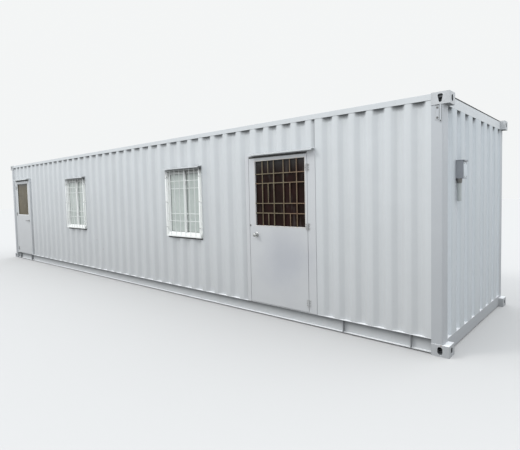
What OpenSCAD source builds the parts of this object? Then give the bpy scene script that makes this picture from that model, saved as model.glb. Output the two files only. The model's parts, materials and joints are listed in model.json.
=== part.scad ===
// Steel shipping container fitted out as a cabin, with two outward doors and two guarded windows.
// Origin: centre of the plane through the bottom faces of the four lower corner castings.
// X runs along the length, the doors and windows face -Y, Z is up.  Millimetres.

/* [Container] */
// Length over the corner castings
cab_l = 12192; // [9900:1:14700]
// Width over the corner castings
cab_w = 2438; // [2000:1:3000]
// Height over the corner castings
cab_h = 2591; // [2500:1:3200]

/* [Corner castings] */
// Size along the length
casting_l = 178; // [150:1:220]
// Size across the width
casting_w = 162; // [150:1:200]
// Height
casting_h = 118; // [100:1:145]
// Thickness of the top or bottom plate that takes the twistlock
casting_plate = 28; // [20:0.5:30]
// Thickness of the side plates
casting_wall = 20; // [12:1:24]
// Width of the twistlock slot
slot_w = 63.5; // [50:0.5:70]
// Length of the twistlock slot, along the container
slot_l = 124; // [110:0.5:128]
// Twistlock slot centres, measured in from the ends
slot_inset_x = 103.5; // [95:0.5:110]
// Twistlock slot centres, measured in from the sides
slot_inset_y = 89.5; // [80:0.5:95]
// Width of the lifting hole in the long side
side_hole_w = 51; // [40:1:60]
// Height of the lifting hole in the long side
side_hole_h = 79; // [60:1:84]
// Corner radius of the shield-shaped side hole in an upper casting
side_hole_foot = 15; // [10:0.5:18]
// Width of the lifting hole in the end
end_hole_w = 51; // [40:1:60]
// Height of the lifting hole in the end
end_hole_h = 64; // [55:1:80]

/* [Frame] */
// How far the steelwork stays inside the castings on the long sides
side_setback = 6; // [3:1:12]
// How far the posts, header and sill stay inside the castings at the ends
end_setback = 60; // [20:1:90]
// How far the rails stay below the top castings
rail_drop = 6; // [4:1:12]
// Depth of a corner post across the container
post_d = 130; // [110:1:150]
// Plate thickness of the corner posts
post_t = 6; // [4:0.5:10]
// Chamfer on the outer edge of a post
post_chamfer = 14; // [5:1:25]
// Side of the square tube along each top edge
top_rail = 60; // [50:1:80]
// Wall of the top rail tube
top_rail_t = 3; // [2:0.5:5]
// Height of the bottom side rail
bottom_rail_h = 150; // [130:1:180]
// Lowest edge of the bottom rails and sills above the castings' lower face
base_gap = 14; // [8:1:18]
// Width of the bottom side rail's top flange
rail_top_flange = 48; // [44:1:60]
// Width of the bottom side rail's bottom flange
rail_foot_flange = 34; // [20:1:40]
// Thickness of the bottom side rail
bottom_rail_t = 4.5; // [3:0.5:8]
// Thickness of the gusset plates in the bottom side rail
gusset_t = 8; // [5:1:12]
// How far the gusset plates stay inside the rail's outer face
gusset_in = 4; // [2:1:20]
// Distance of the outer gussets from the container's ends
gusset_near = 400; // [300:1:500]
// Distance between the two gussets at each end
gusset_pitch = 820; // [600:1:1000]
// Depth of the end header tube
header_d = 60; // [50:1:80]
// Height of the lip strip along the header's upper edge
header_lip_h = 12; // [6:1:20]
// How far the header's lip stands back
header_lip_back = 8; // [4:1:12]
// Wall of the end header and end sill
end_beam_t = 4; // [3:0.5:6]
// Height of the end sill
sill_h = 136; // [110:1:150]

/* [Corrugated walls] */
// Sheet thickness of walls and roof
sheet_t = 2; // [1.6:0.1:4]
// How far the wall sheets stay inside the rails' outer faces
wall_inset = 3; // [1:0.5:8]
// Depth of the side wall waves
wave_d = 36; // [20:1:40]
// Spacing of the side wall waves
wave_pitch = 278; // [230:1:320]
// Width of a wave's recessed flat
wave_flat = 70; // [40:1:90]
// Width of a wave's slope
wave_slope = 68; // [40:1:70]
// Distance from the container's left end to its first recess
wave_start = 266; // [240:1:290]
// Distance from the near door frame's left edge to the first recess over that door
over_start = 276; // [260:1:300]
// Spacing of the waves over the near door
over_pitch = 231; // [200:1:260]
// Spacing of the closer waves right of the near door
close_pitch = 218.5; // [190:0.5:240]
// Width of a closer wave's recessed flat
close_flat = 46; // [30:1:60]
// Width of a closer wave's slope
close_slope = 56; // [30:1:60]
// Distance from the container's right end to its last recess
close_end = 307; // [290:1:340]
// Depth of the end wall waves
end_wave_d = 45; // [30:1:50]
// Spacing of the end wall waves
end_pitch = 277; // [240:1:290]
// Distance of the inmost end wall recesses from the centre line
end_mid = 176; // [140:1:190]
// Width of an end wave's recessed flat
end_flat = 94; // [80:1:100]
// Width of an end wave's steep slope
end_slope = 18; // [10:1:30]

/* [Roof and floor] */
// Depth of the pressed roof troughs
roof_wave_d = 12; // [6:1:20]
// Spacing of the roof troughs
roof_pitch = 209; // [180:1:260]
// Width of a roof trough's flat
roof_flat = 70; // [50:1:90]
// Width of a roof trough's slope
roof_slope = 20; // [10:1:30]
// Unpressed margin from the rails' inner faces to the troughs
roof_margin = 60; // [30:1:120]
// Overlap of the roof sheet on the rails
roof_lap = 36; // [20:1:45]
// Overlap of the roof sheet on the end headers
roof_end_lap = 14; // [8:1:40]
// Thickness of the plates that protect the roof beside the castings
corner_plate_t = 2; // [1.5:0.5:3.5]
// Length of those plates
corner_plate_l = 420; // [300:1:500]
// Thickness of the plywood floor
floor_t = 28; // [20:1:32]
// Height of the cross members
member_h = 122; // [100:1:122]
// Width of the cross members' flanges
member_w = 45; // [40:1:60]
// Thickness of the cross members
member_t = 4; // [3:0.5:6]
// How far the cross members stay above the rails' lower edge
member_lift = 6; // [4:1:20]
// Spacing of the cross members
member_pitch = 305; // [280:1:400]

/* [Near door] */
// Distance of the near door's hinge edge from the right end
near_door_from_end = 1698; // [1650:1:1760]
// Width of the near door leaf
near_leaf_w = 990; // [800:1:1060]
// Width of the frame face on the near door's hinge side
near_hinge_jamb = 116; // [60:1:130]
// Width of the frame face on the near door's knob side
near_lock_jamb = 64; // [50:1:120]
// Margin from the leaf's knob edge to the opening in it
near_light_side = 114; // [60:1:200]
// Height of the opening in the near door's leaf
near_light_h = 860; // [700:1:880]
// Margin from the leaf's hinge edge to that opening
near_light_margin = 34; // [30:1:60]
// Margin from the leaf's top to that opening
near_light_drop = 64; // [50:1:100]
// Thickness of the grille bars
grille_bar = 12; // [8:1:16]
// Set-back of the grille from the leaf's outer face
grille_back = 3; // [1:1:8]
// Set-back of the near door's glass from the leaf's outer face
near_glass_back = 24; // [18:1:28]
// Diameter of the ball knob
knob_d = 56; // [45:1:62]
// How far the knob's middle stands off the leaf
knob_out = 42; // [36:1:60]
// Diameter of the knob's neck
knob_neck_d = 26; // [16:1:34]
// Diameter of the knob's round plate
rose_d = 66; // [50:1:80]
// Thickness of that plate
rose_t = 4; // [2:1:8]
// Distance of the knob from the leaf's edge
knob_backset = 130; // [60:1:140]
// Height of the knob above the leaf's bottom edge
knob_up = 930; // [850:1:1000]

/* [Far door] */
// Distance of the far door's hinge edge from the left end
far_door_from_end = 361; // [340:1:380]
// Width of the far door leaf
far_leaf_w = 920; // [800:1:960]
// Width of the frame face on both sides of the far door
far_jamb = 52; // [44:1:60]
// Margin from the leaf's lever edge to the glazed opening
far_light_side = 86; // [60:1:200]
// Height of the glazed opening in the far door
far_light_h = 826; // [700:1:880]
// Margin from the leaf's hinge edge to the glazed opening
far_light_margin = 94; // [70:1:110]
// Margin from the leaf's top to the glazed opening
far_light_drop = 95; // [45:1:100]
// Set-back of the far door's glass from the leaf's outer face
far_glass_back = 14; // [8:1:28]
// Distance of the lever from the leaf's edge
lever_backset = 62; // [50:1:80]
// Height of the lever above the leaf's bottom edge
lever_up = 903; // [850:1:1000]
// Length of the lever
lever_l = 125; // [100:1:140]
// Width of the lever's grip
lever_w = 18; // [12:1:26]
// Thickness of the lever's grip
lever_t = 12; // [8:1:16]
// Gap between the leaf and the lever's grip
lever_off = 38; // [30:1:50]
// Diameter of the lever's neck
lever_neck_d = 20; // [14:1:30]
// Diameter of the lever's round plate
lever_rose_d = 48; // [40:1:56]
// Thickness of the lever's round plate
lever_rose_t = 8; // [4:1:12]

/* [Doors] */
// Height of both leaves
leaf_h = 1980; // [1900:1:2060]
// Thickness of both leaves
leaf_t = 40; // [35:1:48]
// Thickness of the leaves' steel skins
skin_t = 2; // [1:0.5:3]
// Width of the closed rim round a leaf's opening
leaf_rim = 22; // [10:1:28]
// Gap round a closed leaf
leaf_gap = 6; // [5:0.5:8]
// Depth of the door frames
door_frame_d = 54; // [50:1:60]
// Height of the frame face over the leaves
door_head = 40; // [30:1:60]
// Plate thickness of the door frames
door_frame_t = 3; // [2:0.5:5]
// How far leaves and frames stand proud of the wall sheet
proud = 6; // [3:1:10]
// Radius of a hinge barrel
hinge_r = 9; // [7:0.5:10]
// Radius of a hinge pin
pin_r = 5; // [4:0.5:5.5]
// Radial running clearance round a hinge pin
pin_clear = 0.1; // [0.05:0.05:0.2]
// Height of the lowest hinge above the leaf's lower edge
hinge_low = 115; // [90:1:200]
// Height of the middle hinge above the leaf's lower edge
hinge_mid = 1067; // [800:1:1200]
// Height of the highest hinge above the leaf's lower edge
hinge_high = 1790; // [1600:1:1840]
// Length of one hinge
hinge_h = 90; // [70:1:120]
// Gap between a hinge's knuckles
knuckle_gap = 0.5; // [0.3:0.1:2]
// Width of a hinge flap
hinge_flap = 34; // [25:1:40]
// Thickness of a hinge flap
hinge_t = 3; // [2:0.5:4]

/* [Windows] */
// Distance of the near window's left edge from the right end
near_window_from_end = 4620; // [4560:1:4700]
// Distance of the far window's left edge from the left end
far_window_from_end = 3656; // [3600:1:3700]
// Width of a window
win_w = 900; // [700:1:1100]
// Height of a window
win_h = 1090; // [900:1:1150]
// Height of the windows' lower edge above the ground
win_up = 986; // [900:1:1100]
// Face width of the window frame
win_frame = 34; // [25:1:50]
// Depth of the window frame
win_depth = 74; // [60:1:90]
// Face width of a sash
sash_face = 42; // [30:1:55]
// Depth of a sash
sash_depth = 24; // [18:1:28]
// Set-back of the outer sash from the frame's face
sash_back = 16; // [4:1:20]
// Gap between the two sashes
sash_gap = 4; // [2:1:8]
// Overlap of the two sashes in the middle
sash_overlap = 46; // [30:1:55]
// Thickness of the glass
glass_t = 5; // [3:1:8]
// Stand-off of the guard from the window frame
guard_off = 26; // [15:1:60]
// Face width of the guard's border
guard_edge = 30; // [20:1:45]
// Thickness of the guard's border
guard_t = 8; // [5:1:12]
// Thickness of the guard's bars
guard_bar = 10; // [6:1:14]
// Width of the lugs that hold the guard
guard_lug_w = 12; // [8:1:20]
// Height of the lugs that hold the guard
guard_lug_h = 24; // [16:1:40]
// Number of upright bars
guard_count = 6; // [4:1:10]
// Thickness of the shelf between the window and the guard
shelf_h = 6; // [4:1:20]

/* [Hoods] */
// How far a hood stands out
hood_out = 74; // [40:1:100]
// Fall of a hood from back to front
hood_fall = 16; // [5:1:30]
// Height of a hood's front lip
hood_lip = 14; // [8:1:25]
// Height of a hood's back flange
hood_back = 26; // [15:1:40]
// Sheet thickness of a hood
hood_t = 2.5; // [1.5:0.5:4]
// How far a door hood's lip stays above the closed leaf
hood_over_leaf = 10; // [8:1:20]
// How far a window hood stands past the window's sides
hood_side = 12; // [0:1:30]
// Distance from the near leaf's edge to that door's hood
near_hood_in = 45; // [0:1:80]
// Distance from the far door frame's edge to that door's hood
far_hood_in = 10; // [0:1:60]

/* [Small fittings] */
// Distance of the inlet box from the front edge
inlet_in = 379; // [330:1:450]
// Height of the inlet box's lower edge
inlet_up = 1767; // [1600:1:1900]
// Width of the inlet box
inlet_w = 118; // [100:1:170]
// Height of the inlet box
inlet_h = 184; // [150:1:220]
// Depth of the inlet box
inlet_d = 76; // [60:1:100]
// How far the box's lid stands out past it
inlet_brim = 12; // [6:1:50]
// How far the lid laps over the box's sides
inlet_lap = 6; // [2:1:12]
// Thickness of the lid
inlet_lid_t = 5; // [3:1:8]
// Height of the lid's turned-down lip
inlet_lip_h = 12; // [6:1:20]
// Thickness of the lid's turned-down lip
inlet_lip_t = 3; // [2:0.5:4]
// Diameter of the conduit below the box
conduit_d = 44; // [25:1:50]
// Length of the conduit below its gland
conduit_l = 185; // [100:1:260]
// Height of the gland between the box and the conduit
gland_h = 50; // [30:1:70]
// Wall of the gland round the conduit
gland_wall = 6; // [4:1:12]
// Height of the lug bracket on the near post
lug_h = 168; // [120:1:180]
// Width of the lug bracket
lug_w = 62; // [50:1:70]
// Thickness of the bracket's plate
lug_t = 3; // [2:0.5:5]
// Width of the bracket's upright bar
lug_bar_w = 18; // [12:1:24]
// Diameter of the round eye at the bar's foot
lug_eye = 26; // [20:1:30]
// Diameter of the hole in that eye
lug_eye_hole = 14; // [8:1:16]
// Diameter of the bolt holes
lug_hole_d = 12; // [8:1:16]
// Distance of the bolt holes from the bracket's left edge
lug_hole_in = 18; // [14:1:22]
// Distance of the upper bolt hole from the bracket's upper edge
lug_hole_top = 28; // [16:1:40]
// Distance of the lower bolt hole from the bracket's lower edge
lug_hole_foot = 44; // [38:1:60]

/* [Hidden] */
$fn = 48;
eps = 1;
weld = 0.5;
x_end = cab_l / 2;
y_side = cab_w / 2;
x_post = x_end - casting_l;
y_post = y_side - casting_w;
y_post_in = y_side - side_setback - post_d;
x_face = x_end - end_setback;
y_face = y_side - side_setback;
rail_top_z = cab_h - rail_drop;
rail_under_z = rail_top_z - top_rail;
rail_seat_z = base_gap + bottom_rail_h;
post_top_z = cab_h - casting_h;
sill_top_z = base_gap + sill_h;
y_wall = y_face - wall_inset;
y_leaf = y_wall + proud;
y_web = y_face - rail_top_flange - bottom_rail_t;
leaf_z = rail_seat_z + leaf_gap;
leaf_top = leaf_z + leaf_h;
head_top = leaf_top + leaf_gap + door_head;
near_hinge_x = x_end - near_door_from_end;
near_left = near_hinge_x - near_leaf_w;
near_open = [near_left - leaf_gap - near_lock_jamb, near_hinge_x + leaf_gap + near_hinge_jamb];
far_hinge_x = -x_end + far_door_from_end;
far_right = far_hinge_x + far_leaf_w;
far_open = [far_hinge_x - leaf_gap - far_jamb, far_right + leaf_gap + far_jamb];
near_win_x = x_end - near_window_from_end;
far_win_x = -x_end + far_window_from_end;
panel_seam = (near_win_x + far_win_x + win_w) / 2;
fit = 1;
paint = "#d5d9db";
steel_dark = "#8f9497";
white = "#eef0f0";

function recess(c, flat, slope) =
    [[c - flat / 2 - slope, 0], [c - flat / 2, 1], [c + flat / 2, 1], [c + flat / 2 + slope, 0]];
function wave_line(centres, flat, slope) = [for (c = centres) each recess(c, flat, slope)];
wave_x = [-x_end + wave_start : wave_pitch : x_end - wave_start];
main_x = [-x_end + wave_start : wave_pitch : near_open[0] + wave_flat];
over_x = [near_open[0] + over_start : over_pitch : near_open[1] + close_flat];
close_n = floor((x_end - close_end - near_open[1] - close_flat / 2 - close_slope) / close_pitch);
close_x = [for (i = [close_n : -1 : 0]) x_end - close_end - i * close_pitch];
main_line = wave_line(main_x, wave_flat, wave_slope);
over_line = concat(main_line, wave_line(over_x, close_flat, close_slope));
close_line = wave_line(close_x, close_flat, close_slope);
back_line = wave_line(wave_x, wave_flat, wave_slope);
end_y = [for (i = [0 : 3]) end_mid + i * end_pitch];
end_line = wave_line([for (i = [3 : -1 : 0]) -end_y[i], for (y = end_y) y], end_flat, end_slope);

// A block between two corners
module block(a, b) {
    translate([min(a.x, b.x), min(a.y, b.y), min(a.z, b.z)])
        cube([abs(b.x - a.x), abs(b.y - a.y), abs(b.z - a.z)]);
}
// A child shape and its mirror images at all four corners
module at_corners() {
    for (sx = [0, 1], sy = [0, 1]) mirror([sx, 0, 0]) mirror([0, sy, 0]) children();
}
// A child shape at the front and its mirror image at the back
module both_sides() {
    for (s = [0, 1]) mirror([0, s, 0]) children();
}
// A child shape at the right end and its mirror image at the left
module both_ends() {
    for (s = [0, 1]) mirror([s, 0, 0]) children();
}
// Oblong outline, long along its own X
module oblong(l, w) {
    square([l - w, w], center = true);
    for (s = [-1, 1]) translate([s * (l - w) / 2, 0]) circle(d = w);
}

// Shield outline, its round shoulders towards +Y: h high and w wide, tapering to a round foot
function shield_points(h, w, foot) = concat(
    [for (a = [0 : 15 : 90]) [w / 2 - foot, h / 2 - foot] + foot * [cos(a), sin(a)]],
    [for (a = [90 : 15 : 180]) [foot - w / 2, h / 2 - foot] + foot * [cos(a), sin(a)]],
    [for (a = [200 : 20 : 340]) [0, foot - h / 2] + foot * [cos(a), sin(a)]]);
// One corner casting at the right front corner, its plate at z = 0; an upper one has shield-shaped side holes
module casting(upper) {
    difference() {
        block([x_post, -y_side, 0], [x_end, -y_post, casting_h]);
        block([x_post + casting_wall, -y_side + casting_wall, casting_plate],
            [x_end - casting_wall, -y_post - casting_wall, casting_h - casting_wall]);
        translate([x_end - slot_inset_x, -y_side + slot_inset_y, -eps])
            linear_extrude(casting_plate + 2 * eps) oblong(slot_l, slot_w);
        translate([(x_post + x_end) / 2, -y_side + casting_wall + eps, casting_h / 2])
            rotate([90, 0, 0]) linear_extrude(casting_wall + 2 * eps)
                if (upper) mirror([0, 1]) polygon(shield_points(side_hole_h, side_hole_w, side_hole_foot));
                else rotate(90) oblong(side_hole_h, side_hole_w);
        translate([x_end - casting_wall - eps, -(y_side + y_post) / 2, casting_h / 2])
            rotate([90, 0, 90]) linear_extrude(casting_wall + 2 * eps)
                rotate(90) oblong(end_hole_h, end_hole_w);
    }
}
module top_corner_castings() {
    color(paint) at_corners() translate([0, 0, cab_h]) mirror([0, 0, 1]) casting(true);
}
module bottom_corner_castings() {
    color(paint) at_corners() casting(false);
}
module corner_posts() {
    c = post_chamfer;
    t = post_t;
    color(paint) at_corners() translate([0, 0, casting_h]) linear_extrude(post_top_z - casting_h)
        difference() {
            polygon([[x_post, -y_face], [x_face - c, -y_face], [x_face, -y_face + c],
                [x_face, -y_post_in], [x_post, -y_post_in]]);
            polygon([[x_post + t, -y_face + t], [x_face - c, -y_face + t], [x_face - t, -y_face + c],
                [x_face - t, -y_post_in - t], [x_post + t, -y_post_in - t]]);
        }
}
module top_side_rails() {
    t = top_rail_t;
    color(paint) both_sides() difference() {
        block([-x_post, -y_face, rail_under_z], [x_post, -y_face + top_rail, rail_top_z]);
        block([-x_post - eps, -y_face + t, rail_under_z + t],
            [x_post + eps, -y_face + top_rail - t, rail_top_z - t]);
    }
}
module gusset(x) {
    block([x - gusset_t / 2, -y_face + gusset_in, base_gap + bottom_rail_t - weld],
        [x + gusset_t / 2, -y_web - weld, rail_seat_z - bottom_rail_t + weld]);
}
module bottom_side_rails() {
    t = bottom_rail_t;
    y_foot = y_web + t + rail_foot_flange;
    color(paint) both_sides() {
        translate([-x_post, 0, 0]) rotate([90, 0, 90]) linear_extrude(2 * x_post)
            polygon([[-y_foot, base_gap], [-y_web, base_gap], [-y_web, rail_seat_z],
                [-y_face, rail_seat_z], [-y_face, rail_seat_z - t], [-y_web - t, rail_seat_z - t],
                [-y_web - t, base_gap + t], [-y_foot, base_gap + t]]);
        both_ends() for (i = [0, 1]) gusset(x_end - gusset_near - i * gusset_pitch);
    }
}
module end_headers() {
    t = end_beam_t;
    x_in = x_face - header_d;
    z_lip = rail_top_z - header_lip_h;
    color(paint) both_ends() {
        difference() {
            block([x_in, -y_post, post_top_z], [x_face, y_post, z_lip]);
            block([x_in + t, -y_post - eps, post_top_z + t], [x_face - t, y_post + eps, z_lip - t]);
        }
        block([x_in, -y_post, z_lip - weld], [x_face - header_lip_back, y_post, rail_top_z]);
    }
}
module end_sills() {
    t = end_beam_t;
    x_in = x_face - header_d;
    color(paint) both_ends() {
        difference() {
            block([x_in, -y_post, base_gap], [x_face, y_post, sill_top_z]);
            block([x_in - eps, -y_post - eps, base_gap + t], [x_face - t, y_post + eps, sill_top_z - t]);
        }
        both_sides() block([x_in, -y_post_in, casting_h], [x_face, -y_post, sill_top_z]);
    }
}

// Level of a wave line at one place along it: 0 on the outer flats, 1 in a recess
function level_at(line, x) =
    let (hit = [for (i = [0 : len(line) - 2]) if (line[i].x <= x && x < line[i + 1].x) i])
    len(hit) == 0 ? 0 : let (a = line[hit[0]], b = line[hit[0] + 1])
        a.y + (b.y - a.y) * (x - a.x) / (b.x - a.x);
// A corrugated sheet: waves along X, outer flats on y = 0, recesses towards +Y
module wave_sheet(line, x0, x1, depth, z0, z1) {
    inside = [for (p = line) if (p.x > x0 && p.x < x1) [p.x, p.y * depth]];
    front = concat([[x0, level_at(line, x0) * depth]], inside, [[x1, level_at(line, x1) * depth]]);
    back = [for (i = [len(front) - 1 : -1 : 0]) front[i] + [0, sheet_t]];
    translate([0, 0, z0]) linear_extrude(z1 - z0) polygon(concat(front, back));
}
module front_sheet(line, x0, x1, z0) {
    translate([0, -y_wall, 0]) wave_sheet(line, x0, x1, wave_d, z0, rail_under_z);
}
module window_hole(x) {
    block([x - fit, -y_face - eps, win_up - fit], [x + win_w + fit, -y_post, win_up + win_h + fit]);
}
module back_wall() {
    color(paint) translate([0, y_wall, 0]) mirror([0, 1, 0])
        wave_sheet(back_line, -x_post, x_post, wave_d, rail_seat_z, rail_under_z);
}
module end_wall() {
    color(paint) translate([x_face, 0, 0]) rotate(90)
        wave_sheet(end_line, -y_post_in, y_post_in, end_wave_d, sill_top_z, post_top_z);
}
module right_end_wall() { end_wall(); }
module left_end_wall() { mirror([1, 0, 0]) end_wall(); }
module front_wall_left() {
    color(paint) front_sheet(main_line, -x_post, far_open[0] - fit, rail_seat_z);
}
module front_wall_over_far_door() {
    color(paint) front_sheet(main_line, far_open[0], far_open[1], head_top + fit);
}
module front_wall_far_window() {
    color(paint) difference() {
        front_sheet(main_line, far_open[1] + fit, panel_seam - fit / 2, rail_seat_z);
        window_hole(far_win_x);
    }
}
module front_wall_near_window() {
    color(paint) difference() {
        front_sheet(main_line, panel_seam + fit / 2, near_open[0] - fit, rail_seat_z);
        window_hole(near_win_x);
    }
}
module front_wall_over_near_door() {
    color(paint) front_sheet(over_line, near_open[0], near_open[1], head_top + fit);
}
module front_wall_right() {
    color(paint) front_sheet(close_line, near_open[1] + fit, x_post, rail_seat_z);
}

x_roof = x_face - header_d + roof_end_lap;
y_roof = y_face - top_rail + roof_lap;
x_press = x_face - header_d - roof_margin;
y_press = y_face - top_rail - roof_margin;
roof_z = rail_top_z + sheet_t;
trough_half = roof_flat / 2 + roof_slope;
trough_n = floor((2 * x_press - 2 * trough_half) / roof_pitch);
trough_x = [for (i = [0 : trough_n]) (i - trough_n / 2) * roof_pitch];
// A flat sheet with a row of closed troughs pressed down into it
module roof() {
    low = -roof_wave_d;
    t = sheet_t;
    f = roof_flat / 2;
    color(paint) difference() {
        union() {
            block([-x_roof, -y_roof, rail_top_z], [x_roof, y_roof, roof_z]);
            for (c = trough_x) translate([c, y_press, roof_z]) rotate([90, 0, 0]) linear_extrude(2 * y_press)
                polygon([[-trough_half, -t / 2], [-trough_half, -t], [-f, low - t], [f, low - t],
                    [trough_half, -t], [trough_half, -t / 2]]);
        }
        for (c = trough_x) translate([c, y_press - t, roof_z]) rotate([90, 0, 0])
            linear_extrude(2 * (y_press - t))
                polygon([[-trough_half, 0], [-trough_half, eps], [trough_half, eps], [trough_half, 0],
                    [f, low], [-f, low]]);
        at_corners() block([x_post - fit, -y_side, rail_top_z - eps], [x_end, -y_post + fit, roof_z + eps]);
    }
}
module roof_corner_plates() {
    x = x_post - fit;
    color(paint) both_ends() both_sides()
        block([x - corner_plate_l, -y_roof, roof_z], [x, -y_press - fit, roof_z + corner_plate_t]);
}
module floor_panel() {
    z = base_gap + member_lift + member_h;
    x = x_face - header_d;
    color("#8a6f4f") {
        block([-x_post + fit, -y_web + fit, z], [x_post - fit, y_web - fit, z + floor_t]);
        block([-x, -y_post_in + fit, z], [x, y_post_in - fit, z + floor_t]);
    }
}
module cross_members() {
    t = member_t;
    n = floor((2 * (x_face - header_d) - 2 * member_w) / member_pitch);
    z = base_gap + member_lift;
    color(steel_dark) for (i = [0 : n]) translate([(i - n / 2) * member_pitch - member_w / 2, 0, 0])
        difference() {
            block([0, -y_web, z], [member_w, y_web, z + member_h]);
            block([t, -y_web - eps, z + t], [member_w + eps, y_web + eps, z + member_h - t]);
        }
}

// A pressed door frame round an opening, open towards the inside
module door_frame(x0, x1, leaf_x0, leaf_x1) {
    g = leaf_gap;
    t = door_frame_t;
    y0 = -y_leaf;
    y1 = -y_leaf + door_frame_d;
    color(paint) difference() {
        block([x0, y0, rail_seat_z], [x1, y1, head_top]);
        block([leaf_x0 - g, y0 - eps, rail_seat_z - eps], [leaf_x1 + g, y1 + eps, leaf_top + g]);
        block([x0 + t, y0 + t, rail_seat_z - eps], [leaf_x0 - g - t, y1 + eps, head_top - t]);
        block([leaf_x1 + g + t, y0 + t, rail_seat_z - eps], [x1 - t, y1 + eps, head_top - t]);
        block([x0 + t, y0 + t, leaf_top + g + t], [x1 - t, y1 + eps, head_top - t]);
    }
}
// A hollow sheet steel leaf with one opening, open along its lower edge
module door_leaf(x0, x1, light_x0, light_x1, light_z0, light_z1) {
    s = skin_t;
    rim = leaf_rim;
    y0 = -y_leaf;
    y1 = -y_leaf + leaf_t;
    color(paint) difference() {
        block([x0, y0, leaf_z], [x1, y1, leaf_top]);
        block([light_x0, y0 - eps, light_z0], [light_x1, y1 + eps, light_z1]);
        difference() {
            block([x0 + s, y0 + s, leaf_z - eps], [x1 - s, y1 - s, leaf_top - s]);
            block([light_x0 - rim, y0, light_z0 - rim], [light_x1 + rim, y1, light_z1 + rim]);
        }
    }
}
// Three hinges on one upright pin: the leaf's knuckle and flap, or the frame's
module hinge_set(x, out, on_leaf) {
    y = -y_leaf - hinge_r;
    k = hinge_h / 3;
    for (z = hinge_z) translate([x, y, z - hinge_h / 2]) {
        if (on_leaf) difference() {
            union() {
                translate([0, 0, k + knuckle_gap]) cylinder(r = hinge_r, h = k - 2 * knuckle_gap);
                block([0, hinge_r - hinge_t, k + knuckle_gap],
                    [out * hinge_flap, hinge_r, 2 * k - knuckle_gap]);
            }
            cylinder(r = pin_r + pin_clear, h = hinge_h);
        } else {
            cylinder(r = pin_r, h = hinge_h);
            for (b = [0, 2]) translate([0, 0, b * k]) {
                cylinder(r = hinge_r, h = k);
                block([0, hinge_r - hinge_t, 0], [-out * hinge_flap, hinge_r, k]);
            }
        }
    }
}
hinge_z = [leaf_z + hinge_low, leaf_z + hinge_mid, leaf_z + hinge_high];
near_pin_x = near_hinge_x + leaf_gap / 2;
far_pin_x = far_hinge_x - leaf_gap / 2;
near_light_x1 = near_hinge_x - near_light_margin;
near_light_x0 = near_left + near_light_side;
near_light_z1 = leaf_top - near_light_drop;
near_light_z0 = near_light_z1 - near_light_h;
far_light_x0 = far_hinge_x + far_light_margin;
far_light_x1 = far_right - far_light_side;
far_light_z1 = leaf_top - far_light_drop;
far_light_z0 = far_light_z1 - far_light_h;

module near_door_frame() { door_frame(near_open[0], near_open[1], near_left, near_hinge_x); }
module near_door_leaf() {
    door_leaf(near_left, near_hinge_x, near_light_x0, near_light_x1, near_light_z0, near_light_z1);
}
// Uprights at shares of the opening's width, short ones only in every other band
long_bars = [0.155, 0.395, 0.59, 0.845];
short_bars = [0.275, 0.715];
bands = [0.2, 0.345, 0.655, 0.805];
module near_door_grille() {
    b = grille_bar;
    y0 = -y_leaf + grille_back;
    w = near_light_x1 - near_light_x0;
    h = near_light_h;
    color("#6e5a46") translate([near_light_x0, y0, near_light_z0]) {
        for (u = long_bars) translate([u * w - b / 2, 0, 0]) cube([b, b, h]);
        for (v = bands) translate([0, 0, (1 - v) * h - b / 2]) cube([w, b, b]);
        for (u = short_bars, s = [[0, bands[0]], [bands[1], bands[2]], [bands[3], 1]])
            translate([u * w - b / 2, 0, (1 - s[1]) * h]) cube([b, b, (s[1] - s[0]) * h]);
    }
}
module near_door_glass() {
    y = -y_leaf + near_glass_back;
    color("#202326") block([near_light_x0, y, near_light_z0], [near_light_x1, y + glass_t, near_light_z1]);
}
module near_door_knob() {
    color("#c9ccce") translate([near_left + knob_backset, -y_leaf, leaf_z + knob_up])
        for (side = [0, 1]) translate([0, side * leaf_t, 0]) mirror([0, side, 0]) rotate([90, 0, 0]) {
            cylinder(d = rose_d, h = rose_t);
            cylinder(d = knob_neck_d, h = knob_out);
            translate([0, 0, knob_out]) sphere(d = knob_d);
        }
}
module near_door_leaf_hinges() { color(steel_dark) hinge_set(near_pin_x, -1, true); }
module near_door_frame_hinges() { color(steel_dark) hinge_set(near_pin_x, -1, false); }
module far_door_frame() { door_frame(far_open[0], far_open[1], far_hinge_x, far_right); }
module far_door_leaf() {
    door_leaf(far_hinge_x, far_right, far_light_x0, far_light_x1, far_light_z0, far_light_z1);
}
module far_door_glass() {
    y = -y_leaf + far_glass_back;
    color("#6f6a55") block([far_light_x0, y, far_light_z0], [far_light_x1, y + glass_t, far_light_z1]);
}
module far_door_lever() {
    color(steel_dark) translate([far_right - lever_backset, -y_leaf, leaf_z + lever_up])
        for (side = [0, 1]) translate([0, side * leaf_t, 0]) mirror([0, side, 0]) {
            rotate([90, 0, 0]) cylinder(d = lever_rose_d, h = lever_rose_t);
            rotate([90, 0, 0]) cylinder(d = lever_neck_d, h = lever_off + lever_t / 2);
            block([-lever_l, -lever_off - lever_t, -lever_w / 2],
                [lever_neck_d / 2, -lever_off, lever_w / 2]);
        }
}
module far_door_leaf_hinges() { color(steel_dark) hinge_set(far_pin_x, 1, true); }
module far_door_frame_hinges() { color(steel_dark) hinge_set(far_pin_x, 1, false); }

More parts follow.
